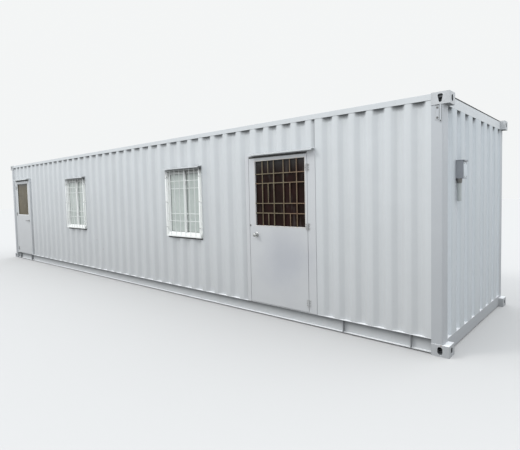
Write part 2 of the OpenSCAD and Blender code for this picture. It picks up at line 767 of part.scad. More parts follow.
// A folded sheet hood whose back stands on the plane y and whose lip ends at z
module hood(x0, x1, y, z) {
    t = hood_t;
    y_lip = y - hood_out;
    z_lip = z + hood_lip;
    z_back = z_lip + hood_fall;
    z_foot = z_back - hood_back;
    color(paint) translate([x0, 0, 0]) rotate([90, 0, 90]) linear_extrude(x1 - x0)
        polygon([[y, z_foot], [y, z_back], [y - t, z_back], [y_lip, z_lip], [y_lip, z],
            [y_lip + t, z], [y_lip + t, z_lip - t], [y - t, z_back - 2 * t], [y - t, z_foot]]);
}
module near_door_hood() { hood(near_left + near_hood_in, near_open[1], -y_leaf, leaf_top + hood_over_leaf); }
module far_door_hood() { hood(far_open[0] + far_hood_in, far_open[1], -y_leaf, leaf_top + hood_over_leaf); }

// Window pieces, each placed from the window's left edge
module ring(x0, x1, z0, z1, y0, y1, face) {
    difference() {
        block([x0, y0, z0], [x1, y1, z1]);
        block([x0 + face, y0 - eps, z0 + face], [x1 - face, y1 + eps, z1 - face]);
    }
}
win_z1 = win_up + win_h;
sash_w = (win_w - 2 * win_frame + sash_overlap) / 2;
module window_frame(x) {
    color(white) ring(x, x + win_w, win_up, win_z1, -y_leaf, -y_leaf + win_depth, win_frame);
}
sash_y = [-y_leaf + sash_back, -y_leaf + sash_back + sash_depth + sash_gap];
sash_x = [win_frame, win_w - win_frame - sash_w];
module window_sashes(x) {
    color(white) for (i = [0, 1])
        ring(x + sash_x[i], x + sash_x[i] + sash_w, win_up + win_frame, win_z1 - win_frame,
            sash_y[i], sash_y[i] + sash_depth, sash_face);
}
module window_glass(x) {
    f = sash_face;
    back = (sash_depth - glass_t) / 2;
    color("#a9b5ae") for (i = [0, 1])
        block([x + sash_x[i] + f, sash_y[i] + back, win_up + win_frame + f],
            [x + sash_x[i] + sash_w - f, sash_y[i] + back + glass_t, win_z1 - win_frame - f]);
}
guard_bands = [0.175, 0.285, 0.655, 0.765];
module window_guard(x) {
    y1 = -y_leaf - guard_off;
    y0 = y1 - guard_t;
    b = guard_bar;
    z0 = win_up;
    color(white) {
        ring(x, x + win_w, z0, win_z1, y0, y1, guard_edge);
        for (i = [1 : guard_count])
            translate([x + i * win_w / (guard_count + 1) - b / 2, y0 - 1, z0 + 2])
                cube([b, b, win_h - 4]);
        for (v = guard_bands)
            translate([x + 2, y0 + 1, z0 + (1 - v) * win_h - b / 2]) cube([win_w - 4, b, b]);
        for (u = [0, win_w - guard_lug_w], v = [0.12, 0.5, 0.88])
            translate([x + u, y1 - eps, z0 + v * win_h]) cube([guard_lug_w, guard_off + eps, guard_lug_h]);
        block([x, y1 - eps, z0], [x + win_w, -y_leaf, z0 + shelf_h]);
    }
}
module window_hood(x) { hood(x - hood_side, x + win_w + hood_side, -y_wall, win_z1 + fit); }

inlet_y = -y_side + inlet_in;
module inlet_box() {
    top = inlet_up + inlet_h;
    y0 = inlet_y - inlet_lap;
    y1 = inlet_y + inlet_w + inlet_lap;
    x_brim = x_face + inlet_d + inlet_brim;
    color("#9aa0a4") {
        block([x_face, inlet_y, inlet_up], [x_face + inlet_d, inlet_y + inlet_w, top]);
        block([x_face, y0, top - eps], [x_brim, y1, top + inlet_lid_t]);
        block([x_brim - inlet_lip_t, y0, top - inlet_lip_h], [x_brim, y1, top]);
    }
}
module inlet_conduit() {
    gland_d = conduit_d + 2 * gland_wall;
    color("#8b908f") translate([x_face + gland_d / 2, inlet_y + gland_d / 2, 0]) {
        translate([0, 0, inlet_up - gland_h]) cylinder(d = gland_d, h = gland_h);
        translate([0, 0, inlet_up - gland_h - conduit_l]) cylinder(d = conduit_d, h = conduit_l + eps);
    }
}
// A plate with two bolt holes, a stiffening bar and a round eye, welded under the top casting
module lug_bracket() {
    z1 = post_top_z - fit;
    z0 = z1 - lug_h;
    z_eye = z0 + lug_eye / 2;
    x1 = x_face - post_chamfer;
    x0 = x1 - lug_w;
    x_bar = x1 - lug_eye / 2;
    color(paint) difference() {
        union() {
            block([x0, -y_face - lug_t, z0 + lug_eye], [x1, -y_face, z1]);
            block([x_bar - lug_bar_w / 2, -y_side, z_eye], [x_bar + lug_bar_w / 2, -y_face, z1]);
            translate([x_bar, -y_face, z_eye]) rotate([90, 0, 0]) cylinder(d = lug_eye, h = side_setback);
        }
        for (z = [z1 - lug_hole_top, z0 + lug_hole_foot]) translate([x0 + lug_hole_in, -y_face + eps, z])
            rotate([90, 0, 0]) cylinder(d = lug_hole_d, h = side_setback + 2 * eps);
        translate([x_bar, -y_face + eps, z_eye])
            rotate([90, 0, 0]) cylinder(d = lug_eye_hole, h = side_setback + 2 * eps);
    }
}

top_corner_castings();
bottom_corner_castings();
corner_posts();
top_side_rails();
bottom_side_rails();
end_headers();
end_sills();
right_end_wall();
left_end_wall();
back_wall();
front_wall_left();
front_wall_over_far_door();
front_wall_far_window();
front_wall_near_window();
front_wall_over_near_door();
front_wall_right();
roof();
roof_corner_plates();
floor_panel();  // floor
cross_members();
near_door_frame();
near_door_leaf();
near_door_grille();
near_door_glass();
near_door_knob();
near_door_leaf_hinges();
near_door_frame_hinges();
near_door_hood();
far_door_frame();
far_door_leaf();
far_door_glass();
far_door_lever();
far_door_leaf_hinges();
far_door_frame_hinges();
far_door_hood();
window_frame(near_win_x);  // near_window_frame
window_sashes(near_win_x);  // near_window_sashes
window_glass(near_win_x);  // near_window_glass
window_guard(near_win_x);  // near_window_guard
window_hood(near_win_x);  // near_window_hood
window_frame(far_win_x);  // far_window_frame
window_sashes(far_win_x);  // far_window_sashes
window_glass(far_win_x);  // far_window_glass
window_guard(far_win_x);  // far_window_guard
window_hood(far_win_x);  // far_window_hood
inlet_box();
inlet_conduit();
lug_bracket();
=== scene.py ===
import json
import math
import bpy
import bmesh
from mathutils import Matrix, Vector

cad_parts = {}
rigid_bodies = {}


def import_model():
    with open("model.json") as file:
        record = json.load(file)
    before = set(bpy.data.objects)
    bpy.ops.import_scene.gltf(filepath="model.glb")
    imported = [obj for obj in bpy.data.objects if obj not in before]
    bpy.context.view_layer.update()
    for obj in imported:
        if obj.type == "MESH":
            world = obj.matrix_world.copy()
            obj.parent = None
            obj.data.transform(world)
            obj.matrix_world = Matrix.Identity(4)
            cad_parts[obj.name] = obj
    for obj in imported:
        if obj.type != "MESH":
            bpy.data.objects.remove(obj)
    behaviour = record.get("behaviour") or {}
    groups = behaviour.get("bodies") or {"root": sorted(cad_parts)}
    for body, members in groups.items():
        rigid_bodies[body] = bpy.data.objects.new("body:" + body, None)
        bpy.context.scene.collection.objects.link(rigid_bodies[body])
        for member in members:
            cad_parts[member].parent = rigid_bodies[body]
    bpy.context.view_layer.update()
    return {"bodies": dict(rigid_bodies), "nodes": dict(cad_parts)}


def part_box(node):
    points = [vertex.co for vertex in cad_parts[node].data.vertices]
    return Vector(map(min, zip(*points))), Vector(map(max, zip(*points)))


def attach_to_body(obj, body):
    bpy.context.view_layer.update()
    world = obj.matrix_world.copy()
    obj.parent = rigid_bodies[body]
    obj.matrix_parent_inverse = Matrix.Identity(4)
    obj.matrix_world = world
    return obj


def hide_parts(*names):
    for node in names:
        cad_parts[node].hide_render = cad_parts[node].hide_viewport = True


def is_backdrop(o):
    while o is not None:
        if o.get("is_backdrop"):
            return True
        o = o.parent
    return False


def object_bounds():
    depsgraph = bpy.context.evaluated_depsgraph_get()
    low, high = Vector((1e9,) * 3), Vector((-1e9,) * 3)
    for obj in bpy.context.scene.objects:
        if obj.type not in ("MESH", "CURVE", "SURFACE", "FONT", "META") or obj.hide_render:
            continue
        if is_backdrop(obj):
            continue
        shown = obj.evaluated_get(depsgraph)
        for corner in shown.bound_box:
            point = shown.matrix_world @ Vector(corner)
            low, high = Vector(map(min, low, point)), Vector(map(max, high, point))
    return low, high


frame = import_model()
print("stage: frame loaded,", len(frame["nodes"]), "nodes")


# what comes out of a node, so that plain arithmetic on it adds math nodes
class Value:
    def __init__(self, tree, socket):
        self.tree, self.socket = tree, socket

    def math(self, operation, *others):
        return nodeValue(self.tree, "ShaderNodeMath", dict(enumerate((self, *others))), operation=operation)

    def ranged(self, low, high, toLow=0.0, toHigh=1.0):
        return nodeValue(self.tree, "ShaderNodeMapRange", {
            "Value": self, "From Min": low, "From Max": high, "To Min": toLow, "To Max": toHigh})

    def clamped(self):
        self.socket.node.use_clamp = True
        return self

    def atLeast(self, other):
        return self.math("MAXIMUM", other)

    def lessThan(self, other):
        return self.math("LESS_THAN", other)

    def feed(self, socket):
        self.tree.links.new(self.socket, socket)

    def __abs__(self):
        return self.math("ABSOLUTE")

    def __add__(self, other):
        return self.math("ADD", other)

    def __sub__(self, other):
        return self.math("SUBTRACT", other)

    def __mul__(self, other):
        return self.math("MULTIPLY", other)

    def __truediv__(self, other):
        return self.math("DIVIDE", other)

    def __rsub__(self, other):
        return nodeValue(self.tree, "ShaderNodeMath", {0: other, 1: self}, operation="SUBTRACT")


def addNode(tree, kind, inputs=None, **settings):
    node = tree.nodes.new(kind)
    for key, value in settings.items():
        setattr(node, key, value)
    for key, value in (inputs or {}).items():
        if isinstance(value, Value):
            value.feed(node.inputs[key])
        else:
            node.inputs[key].default_value = value
    return node


def nodeValue(tree, kind, inputs=None, output=0, **settings):
    return Value(tree, addNode(tree, kind, inputs, **settings).outputs[output])


def mixColour(share, first, second):
    first, second = (c if isinstance(c, Value) else (*c, 1) for c in (first, second))
    return nodeValue(share.tree, "ShaderNodeMix", {0: share, 6: first, 7: second}, 2, data_type="RGBA")


def axes(vector):
    node = addNode(vector.tree, "ShaderNodeSeparateXYZ", {0: vector})
    return [Value(vector.tree, socket) for socket in node.outputs]


def noise(vector, scale, detail=4.0, roughness=0.55):
    return nodeValue(vector.tree, "ShaderNodeTexNoise", {
        "Vector": vector, "Scale": scale, "Detail": detail, "Roughness": roughness})


def stretched(vector, x, y, z):
    scale = nodeValue(vector.tree, "ShaderNodeCombineXYZ", {0: x, 1: y, 2: z})
    return nodeValue(vector.tree, "ShaderNodeVectorMath", {0: vector, 1: scale}, operation="MULTIPLY")


# camera, floor and light
cameraValues = {
    "place": (7.3989, -5.2257, 1.6340),
    "turnDegrees": (86.868, 1.101, 39.668),
    "lens": 28.34,
    "sensor": 36.0,
    "shift": (-0.0512, -0.0153),
    "reach": 400.0,
}
lightValues = {
    "sunFrom": (-0.70, -0.72, 0.78),   # towards the sun
    "sunStrength": 0.80,
    "sunSpread": 14,                   # degrees, a wide soft source
    "sunColour": (1.0, 0.985, 0.955),
    "skyColour": (0.935, 0.970, 1.0),
    "skyLow": 0.90,                    # at the horizon
    "skyHigh": 1.98,                   # straight above
    "backdrop": 0.915,
    "backdropColour": (0.985, 1.0, 1.0),
    "floorSeen": (0.530, 0.525, 0.520),
    "floorBounce": (0.34, 0.34, 0.33),  # what it throws back onto the walls
    "floorSize": 160.0,
}


def placeCamera(values):
    data = bpy.data.cameras.new("viewCamera")
    data.lens, data.sensor_width, data.clip_end = values["lens"], values["sensor"], values["reach"]
    data.shift_x, data.shift_y = values["shift"]
    holder = bpy.data.objects.new("viewCamera", data)
    holder.location = values["place"]
    holder.rotation_euler = [math.radians(a) for a in values["turnDegrees"]]
    bpy.context.scene.collection.objects.link(holder)
    bpy.context.scene.camera = holder


def lightScene(values):
    scene = bpy.context.scene
    scene.view_settings.view_transform = "Standard"
    data = bpy.data.lights.new("softSun", "SUN")
    data.energy, data.color = values["sunStrength"], values["sunColour"]
    data.angle = math.radians(values["sunSpread"])
    sun = bpy.data.objects.new("softSun", data)
    sun.rotation_euler = Vector(values["sunFrom"]).to_track_quat("Z", "Y").to_euler()
    scene.collection.objects.link(sun)
    world = bpy.data.worlds.new("studioSky")
    world.use_nodes = True
    scene.world = world
    tree = world.node_tree
    height = axes(nodeValue(tree, "ShaderNodeTexCoord", output="Generated"))[2]
    level = height.ranged(0.0, 1.0, values["skyLow"], values["skyHigh"])
    seen = nodeValue(tree, "ShaderNodeLightPath", output="Is Camera Ray")
    back = tree.nodes["Background"].inputs
    mixColour(seen, values["skyColour"], values["backdropColour"]).feed(back["Color"])
    nodeValue(tree, "ShaderNodeMix", {0: seen, 2: level, 3: values["backdrop"]}).feed(back["Strength"])
    half = values["floorSize"] / 2
    mesh = bpy.data.meshes.new("studioFloor")
    mesh.from_pydata([(-half, -half, 0), (half, -half, 0), (half, half, 0), (-half, half, 0)], [], [(0, 1, 2, 3)])
    floor = bpy.data.objects.new("studioFloor", mesh)
    scene.collection.objects.link(floor)
    material = bpy.data.materials.new("studioFloor")
    material.use_nodes = True
    tree = material.node_tree
    shader = tree.nodes["Principled BSDF"].inputs
    seen = nodeValue(tree, "ShaderNodeLightPath", output="Is Camera Ray")
    mixColour(seen, values["floorBounce"], values["floorSeen"]).feed(shader["Base Color"])
    shader["Roughness"].default_value = 1.0
    shader["Specular IOR Level"].default_value = 0.0
    mesh.materials.append(material)
    floor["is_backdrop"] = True


placeCamera(cameraValues)
lightScene(lightValues)
print("stage: camera and light")


# a shader group from a recipe; an input with no default is a vector
def makeGroup(name, recipe, inputs):
    group = bpy.data.node_groups.new(name, "ShaderNodeTree")
    for label, default in inputs.items():
        kind = "NodeSocketVector" if default is None else "NodeSocketFloat"
        socket = group.interface.new_socket(name=label, in_out="INPUT", socket_type=kind)
        if default is not None:
            socket.default_value = default
    entry = group.nodes.new("NodeGroupInput")
    made = recipe({label: Value(group, entry.outputs[label]) for label in inputs})
    kinds = {"VALUE": "NodeSocketFloat", "RGBA": "NodeSocketColor"}
    for label, value in made.items():
        group.interface.new_socket(name=label, in_out="OUTPUT", socket_type=kinds[value.socket.type])
    leave = group.nodes.new("NodeGroupOutput")
    for label, value in made.items():
        value.feed(leave.inputs[label])
    return group


# broad and fine patches of a slightly different shade
def mottle(given):
    broad = noise(given["Vector"], given["Scale"], 3.0)
    fine = noise(given["Vector"], given["Scale"] * 9.0, 5.0, 0.65)
    spread = (broad * 0.65 + fine * 0.35 - 0.5) * given["Contrast"]
    return {"Shade": (spread * 2.0 + 0.5).clamped(), "Height": fine}


# thin runs that water has left down an upright face
def waterRuns(given):
    lines = noise(stretched(given["Vector"], given["Closeness"], given["Closeness"], given["Length"]), 1.0, 3.0, 0.6)
    patches = noise(given["Vector"], 0.9, 2.0)
    reach = lines + (patches - 0.5) * 0.45
    return {"Mask": reach.ranged(given["Threshold"], given["Threshold"] + 0.16)}


# dust and painted shade, both thinning out with height above the ground
def groundDustAndShade(given):
    ragged = (noise(given["Vector"], 1.7, 5.0, 0.6) - 0.5) * given["Ragged"]
    return {"Mask": (axes(given["Vector"])[2] + ragged).ranged(given["High"], given["Low"])}


# small rust spots, in two browns
def rustSpots(given):
    where = noise(given["Vector"], 1.3, 2.0)
    reach = noise(given["Vector"], given["Scale"], 6.0, 0.7) + (where - 0.5) * 0.35
    return {"Mask": reach.ranged(given["Threshold"], given["Threshold"] + 0.05),
            "Colour": mixColour(noise(given["Vector"], 60.0, 2.0), (0.16, 0.062, 0.028), (0.33, 0.15, 0.065))}


# uneven sheet, orange peel of the paint coat and the lap marks of a roller
def paintCoat(given):
    wide = noise(given["Vector"], 2.1, 2.0)
    peel = noise(given["Vector"], 260.0, 2.0)
    laps = noise(stretched(given["Vector"], 30.0, 30.0, 1.6), 1.0, 2.0)
    return {"Height": wide * given["Dents"] + peel * (given["Peel"] * 0.04) + laps * 0.02}


# fine parallel lines, for drawn metal and for wood
def grainLines(given):
    x, y, z = axes(given["Vector"])
    bend = noise(given["Vector"], 1.4, 2.0) * (given["Wander"] * 0.12)
    moved = nodeValue(bend.tree, "ShaderNodeCombineXYZ", {0: x, 1: y + bend, 2: z})
    lines = noise(stretched(moved, given["Along"], given["Across"], given["Across"]), 1.0, 5.0, 0.6)
    return {"Shade": lines.ranged(0.3, 0.7), "Height": lines}


# recesses of the pressed walls, and painted shadow in them just under the rails
def ledgeShadow(given):
    x, y, z = axes(given["Vector"])
    inside = (abs(y).ranged(given["Half Width"], given["Half Width"] - 0.012)
              * abs(x).ranged(given["Half Length"], given["Half Length"] - 0.012))
    ledge = given["Ledge"] - abs(x).ranged(5.925, 5.935, 0.0, 0.052)  # the end walls' ledge is lower
    ragged = noise(given["Vector"], 22.0, 3.0) * given["Reach"]
    below = z.ranged(ledge - (ragged + given["Reach"] * 0.5), ledge)
    return {"Mask": inside * below * z.lessThan(ledge + 0.003), "Recess": inside}


# painted shade in the hollow inside a corner casting
def castingHollow(given):
    x, y, z = axes(given["Vector"])
    mask = abs(abs(z - given["Middle"]) - given["Offset"]).lessThan(given["Half Height"])
    for size, label in ((abs(x), "Length"), (abs(y), "Width")):
        mask = mask * size.lessThan(given["Half " + label]) * size.math("GREATER_THAN", given["Inner " + label])
    return {"Mask": mask}


# painted shade in a soft patch round one place, with a ragged edge
def dentShadePatch(given):
    far = nodeValue(given["Vector"].tree, "ShaderNodeVectorMath", {0: given["Vector"], 1: given["Place"]}, "Value",
                    operation="DISTANCE")
    far = far + (noise(given["Vector"], 2.6, 3.0) - 0.5) * 0.5
    return {"Mask": nodeValue(far.tree, "ShaderNodeMapRange", {
        "Value": far, "From Min": given["Radius"], "From Max": 0.05}, interpolation_type="SMOOTHSTEP")}


# how far a face looks down, and how far up; the paints use it for painted shade on downward faces and a painted
# highlight on upward ones
def facing(given):
    up = axes(given["Normal"])[2]
    return {"Down": up.ranged(-0.35, -0.9), "Up": up.ranged(0.45, 0.9)}


# painted shadow under a hood, fading downwards
def hoodShadow(given):
    height = axes(given["Vector"])[2] + noise(given["Vector"], 14.0, 3.0) * 0.05
    return {"Mask": height.ranged(given["Top"] - given["Reach"], given["Top"]).math("POWER", 2.2)}


# painted shade inside a channel that opens sideways, deepest under its upper flange, and on its faces that turn towards
# +x
def channelShade(given):
    x, y, z = axes(given["Vector"])
    height = z + noise(given["Vector"], 9.0, 3.0) * 0.02
    level = height.ranged(given["Top"] - given["Reach"], given["Top"]).math("POWER", 1.5)
    level = level * z.lessThan(given["Top"] + 0.002)
    side = axes(given["Normal"])[0].ranged(0.4, 0.9) * given["Side"]
    return {"Mask": level.atLeast(side) * abs(y).lessThan(given["Face"])}


groups = {recipe.__name__: makeGroup(recipe.__name__, recipe, inputs) for recipe, inputs in (
    (mottle, {"Vector": None, "Scale": 1.0, "Contrast": 1.0}),
    (waterRuns, {"Vector": None, "Closeness": 9.0, "Length": 0.55, "Threshold": 0.56}),
    (groundDustAndShade, {"Vector": None, "Low": 0.0, "High": 1.6, "Ragged": 0.5}),
    (rustSpots, {"Vector": None, "Scale": 14.0, "Threshold": 0.68}),
    (paintCoat, {"Vector": None, "Dents": 0.6, "Peel": 0.25}),
    (grainLines, {"Vector": None, "Across": 60.0, "Along": 1.5, "Wander": 0.4}),
    (ledgeShadow, {"Vector": None, "Ledge": 2.525, "Reach": 0.06, "Half Width": 1.2065, "Half Length": 6.0325}),
    (castingHollow, {"Vector": None, "Half Length": 6.0935, "Half Width": 1.2165, "Inner Length": 5.925,
                     "Inner Width": 1.064, "Middle": 1.2955, "Offset": 1.2365, "Half Height": 0.044}),
    (dentShadePatch, {"Vector": None, "Place": None, "Radius": 0.5}),
    (facing, {"Normal": None}),
    (hoodShadow, {"Vector": None, "Top": 2.085, "Reach": 0.20}),
    (channelShade, {"Vector": None, "Normal": None, "Top": 0.158, "Reach": 0.125, "Face": 1.2125, "Side": 0.80}))}


def useGroup(tree, name, **inputs):
    node = addNode(tree, "ShaderNodeGroup", inputs, node_tree=groups[name])
    return {socket.name: Value(tree, socket) for socket in node.outputs}


def startMaterial(name):
    material = bpy.data.materials.new(name)
    material.use_nodes = True
    tree = material.node_tree
    return material, tree, nodeValue(tree, "ShaderNodeTexCoord", output="Object")


# height is for the bump; fixed holds what is the same all over
def finishMaterial(material, colour, roughness, height, strength, distance, fixed):
    shader = material.node_tree.nodes["Principled BSDF"].inputs
    colour.feed(shader["Base Color"])
    roughness.feed(shader["Roughness"])
    nodeValue(height.tree, "ShaderNodeBump", {
        "Height": height, "Strength": strength, "Distance": distance}).feed(shader["Normal"])
    for label, value in fixed.items():
        shader[label].default_value = value
    return material


wallPaintValues = {
    "colour": (0.640, 0.660, 0.675), "shade": (0.585, 0.605, 0.622), "mottleScale": 1.1, "mottle": 0.8,
    "runs": 0.10, "runColour": (0.42, 0.43, 0.42), "dust": 0.74, "dustColour": (0.400, 0.402, 0.405),
    "dustHigh": 2.25, "dustLow": -0.35, "rust": 0.745, "roughness": 0.46, "dents": 0.75, "peel": 0.3,
    "specular": 0.38, "ledge": 0.85, "recess": 0.012, "grimeAndShade": (0.10, 0.105, 0.11), "under": 0.80, "up": 0.85,
    "hollow": 0.0, "channel": 0.0, "recessLight": 0.0, "recessLightColour": (0.80, 0.83, 0.86), "patch": 0.0,
    "patchPlace": (0, 0, 0), "patchRadius": 0.5, "patchColour": (0.36, 0.37, 0.41),
    "lowTopHighlight": (0.88, 0.89, 0.90), "highLedge": (0.43, 0.44, 0.445),  # faces that look up: a painted highlight near the ground, a darker tone high up
    "ledgeHeights": (1.6, 1.9),
}
endPaintValues = dict(wallPaintValues, colour=(0.560, 0.598, 0.626), shade=(0.515, 0.552, 0.580), dust=0.50,
                      recess=0.0, recessLight=0.40)  # a darker, bluer copy of the wall paint, as painted shade on the end walls; their recesses are painted paler, a painted light that evens out the shade in them
railPaintValues = dict(wallPaintValues, ledge=0.0, recess=0.0, rust=0.70, mottleScale=2.0)
footPaintValues = dict(railPaintValues, channel=0.76)  # the bottom side rails
roofPaintValues = dict(railPaintValues, up=0.0, colour=(0.430, 0.442, 0.450), shade=(0.325, 0.332, 0.335),
                       rust=0.625, mottleScale=0.9, mottle=1.7, roughness=0.62)
framePaintValues = dict(wallPaintValues, colour=(0.505, 0.522, 0.545), shade=(0.465, 0.482, 0.505), dust=0.80,
                        dustColour=(0.310, 0.315, 0.325), runs=0.16, rust=0.70, roughness=0.50, dents=0.3,
                        mottleScale=2.2, ledge=0.0, recess=0.0)
castingPaintValues = dict(framePaintValues, rust=0.655, mottleScale=6.0, mottle=1.4, peel=2.2, dents=1.2,
                          colour=(0.57, 0.58, 0.595), shade=(0.44, 0.45, 0.46), roughness=0.58, hollow=0.97)
# paint of the doors; its patch is painted shade over the big dent of the near leaf
doorPaintValues = dict(wallPaintValues, colour=(0.600, 0.610, 0.625), shade=(0.555, 0.565, 0.585),
                       runs=0.07, rust=0.77, roughness=0.38, dents=0.9, mottleScale=1.6, ledge=0.0, recess=0.0,
                       patch=0.55, patchPlace=(4.02, -1.216, 0.78), patchRadius=0.62)


def makePaint(name, values):
    material, tree, place = startMaterial(name)
    normal = nodeValue(tree, "ShaderNodeTexCoord", output="Normal")
    patches = useGroup(tree, "mottle", Vector=place, Scale=values["mottleScale"], Contrast=values["mottle"])
    colour = mixColour(patches["Shade"], values["colour"], values["shade"])
    runs = useGroup(tree, "waterRuns", Vector=place)["Mask"]
    colour = mixColour(runs * values["runs"], colour, values["runColour"])
    # darker towards the ground: dust, and painted shade
    dust = useGroup(tree, "groundDustAndShade", Vector=place, Low=values["dustLow"], High=values["dustHigh"])["Mask"]
    dust = dust * values["dust"]
    colour = mixColour(dust, colour, values["dustColour"])
    # painted shade over the big dent on the near leaf
    if values["patch"]:
        dentShade = useGroup(tree, "dentShadePatch", Vector=place, Place=values["patchPlace"], Radius=values["patchRadius"])
        colour = mixColour(dentShade["Mask"] * values["patch"], colour, values["patchColour"])
    rust = useGroup(tree, "rustSpots", Vector=place, Threshold=values["rust"])
    colour = mixColour(rust["Mask"], colour, rust["Colour"])
    faces = useGroup(tree, "facing", Normal=normal)
    # faces that look up are painted pale near the ground as a painted highlight, and darker high up
    ledgeColour = mixColour(axes(place)[2].ranged(*values["ledgeHeights"]), values["lowTopHighlight"], values["highLedge"])
    colour = mixColour(faces["Up"] * values["up"], colour, ledgeColour)
    # painted shade on faces that look down
    dark = faces["Down"] * values["under"]
    # painted shadow in the wall recesses just under the rails, and recess floors a little darker
    if values["ledge"]:
        ledge = useGroup(tree, "ledgeShadow", Vector=place)
        # painted light: recesses made paler, on the end walls
        if values["recessLight"]:
            colour = mixColour(ledge["Recess"] * values["recessLight"], colour, values["recessLightColour"])
        dark = dark.atLeast(ledge["Mask"] * values["ledge"]).atLeast(ledge["Recess"] * values["recess"])
    # painted shade in the bottom side rails' channel and on their faces turned towards +x
    if values["channel"]:
        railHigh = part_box("bottom_side_rails")[1]
        channel = useGroup(tree, "channelShade", Vector=place, Normal=normal, Top=railHigh[2] - 0.0045,
                           Face=railHigh[1] - 0.004)["Mask"]
        dark = dark.atLeast(channel * values["channel"])
    # painted shade inside the hollows of the corner castings
    if values["hollow"]:
        dark = dark.atLeast(useGroup(tree, "castingHollow", Vector=place)["Mask"] * values["hollow"])
    # mixes in the dark colour: painted shade underneath, under the rails, in channels and hollows, and darker recess
    # floors
    colour = mixColour(dark, colour, values["grimeAndShade"])
    rough = patches["Shade"] * 0.10 + (values["roughness"] - 0.05) + dust * 0.25 + rust["Mask"] * 0.30
    coat = useGroup(tree, "paintCoat", Vector=place, Dents=values["dents"], Peel=values["peel"])["Height"]
    return finishMaterial(material, colour, rough, coat - rust["Mask"] * 0.03, 0.35, 0.02,
                          {"Specular IOR Level": values["specular"]})


whiteValues = {"colour": (0.89, 0.90, 0.885), "grimeAndShade": (0.60, 0.60, 0.57), "roughness": 0.32, "specular": 0.45,
               "hood": 0.88, "hoodShade": (0.10, 0.105, 0.105)}
barValues = dict(whiteValues, colour=(0.72, 0.735, 0.725), grimeAndShade=(0.45, 0.45, 0.43), roughness=0.42, specular=0.4,
                 hood=0.35)


def makeEnamel(name, values):
    material, tree, place = startMaterial(name)
    patches = useGroup(tree, "mottle", Vector=place, Scale=5.0, Contrast=1.3)
    runs = useGroup(tree, "waterRuns", Vector=place, Closeness=30.0, Length=2.0, Threshold=0.58)["Mask"]
    colour = mixColour(patches["Shade"] * 0.10 + runs * 0.14, values["colour"], values["grimeAndShade"])
    rust = useGroup(tree, "rustSpots", Vector=place, Scale=30.0, Threshold=0.78)
    colour = mixColour(rust["Mask"] * 0.6, colour, rust["Colour"])
    # painted shadow under the hood
    hood = useGroup(tree, "hoodShadow", Vector=place)["Mask"]
    colour = mixColour(hood * values["hood"], colour, values["hoodShade"])
    return finishMaterial(material, colour, patches["Shade"] * 0.14 + values["roughness"], patches["Height"],
                          0.12, 0.002, {"Specular IOR Level": values["specular"]})


windowGlassValues = {"colour": (0.600, 0.645, 0.615), "second": (0.49, 0.535, 0.51), "dust": (0.6, 0.6, 0.58),
                     "hoodShade": (0.05, 0.05, 0.05), "roughness": 0.09, "through": 0.10, "scale": 1.6, "ior": 1.45}
darkGlassValues = dict(windowGlassValues, colour=(0.009, 0.006, 0.004), second=(0.024, 0.010, 0.009),
                       roughness=0.30, through=0.0, scale=5.0, ior=1.15)
bronzeGlassValues = dict(windowGlassValues, colour=(0.138, 0.116, 0.074), second=(0.080, 0.066, 0.042),
                         roughness=0.18, through=0.0, scale=2.4, ior=1.15)


def makeGlass(name, values):
    material, tree, place = startMaterial(name)
    patches = useGroup(tree, "mottle", Vector=place, Scale=values["scale"], Contrast=1.5)
    dust = useGroup(tree, "waterRuns", Vector=place, Closeness=14.0, Length=3.0, Threshold=0.55)["Mask"]
    colour = mixColour(patches["Shade"], values["colour"], values["second"])
    colour = mixColour(dust * 0.05, colour, values["dust"])
    # painted shadow under the hood
    colour = mixColour(useGroup(tree, "hoodShadow", Vector=place)["Mask"] * 0.75, colour, values["hoodShade"])
    coat = useGroup(tree, "paintCoat", Vector=place, Dents=0.5, Peel=0.0)["Height"]
    return finishMaterial(material, colour, dust * 0.12 + values["roughness"], coat, 0.05, 0.01,
                          {"Transmission Weight": values["through"], "IOR": values["ior"]})


brightValues = {"colour": (0.62, 0.62, 0.61), "dull": (0.40, 0.40, 0.39), "roughness": 0.20, "metal": 1.0,
                "across": 160.0, "rust": 0.80}
dullValues = {"colour": (0.30, 0.30, 0.29), "dull": (0.17, 0.165, 0.16), "roughness": 0.38, "metal": 0.9,
              "across": 120.0, "rust": 0.76}
hingeValues = {"colour": (0.52, 0.53, 0.54), "dull": (0.36, 0.355, 0.35), "roughness": 0.46, "metal": 0.2,
               "across": 90.0, "rust": 0.66}
bronzeValues = {"colour": (0.205, 0.175, 0.110), "dull": (0.135, 0.100, 0.062), "roughness": 0.45, "metal": 0.25,
                "across": 70.0, "rust": 0.62, "tint": (0.200, 0.085, 0.050), "tintFrom": 3.95, "tintTo": 4.28}


def makeMetal(name, values):
    material, tree, place = startMaterial(name)
    grain = useGroup(tree, "grainLines", Vector=place, Across=values["across"], Along=8.0, Wander=0.1)
    patches = useGroup(tree, "mottle", Vector=place, Scale=9.0, Contrast=1.6)
    rust = useGroup(tree, "rustSpots", Vector=place, Scale=40.0, Threshold=values["rust"])
    colour = mixColour(patches["Shade"], values["colour"], values["dull"])
    colour = mixColour(grain["Shade"] * 0.15, colour, values["dull"])
    colour = mixColour(rust["Mask"], colour, rust["Colour"])
    if "tint" in values:  # fades towards a warmer tone along the row of bars
        share = axes(place)[0].ranged(values["tintFrom"], values["tintTo"], 0.0, 0.75)
        colour = mixColour(share * patches["Shade"], colour, values["tint"])
    clean = 1.0 - rust["Mask"]
    (clean * values["metal"]).feed(tree.nodes["Principled BSDF"].inputs["Metallic"])
    rough = patches["Shade"] * 0.16 + values["roughness"] + rust["Mask"] * 0.4
    return finishMaterial(material, colour, rough, grain["Height"], 0.15, 0.001, {})


plywoodValues = {"colour": (0.34, 0.215, 0.125), "second": (0.215, 0.130, 0.075), "sheet": (1.16, 2.32),
                 "gap": 0.004, "dirt": (0.16, 0.125, 0.095), "roughness": 0.55}


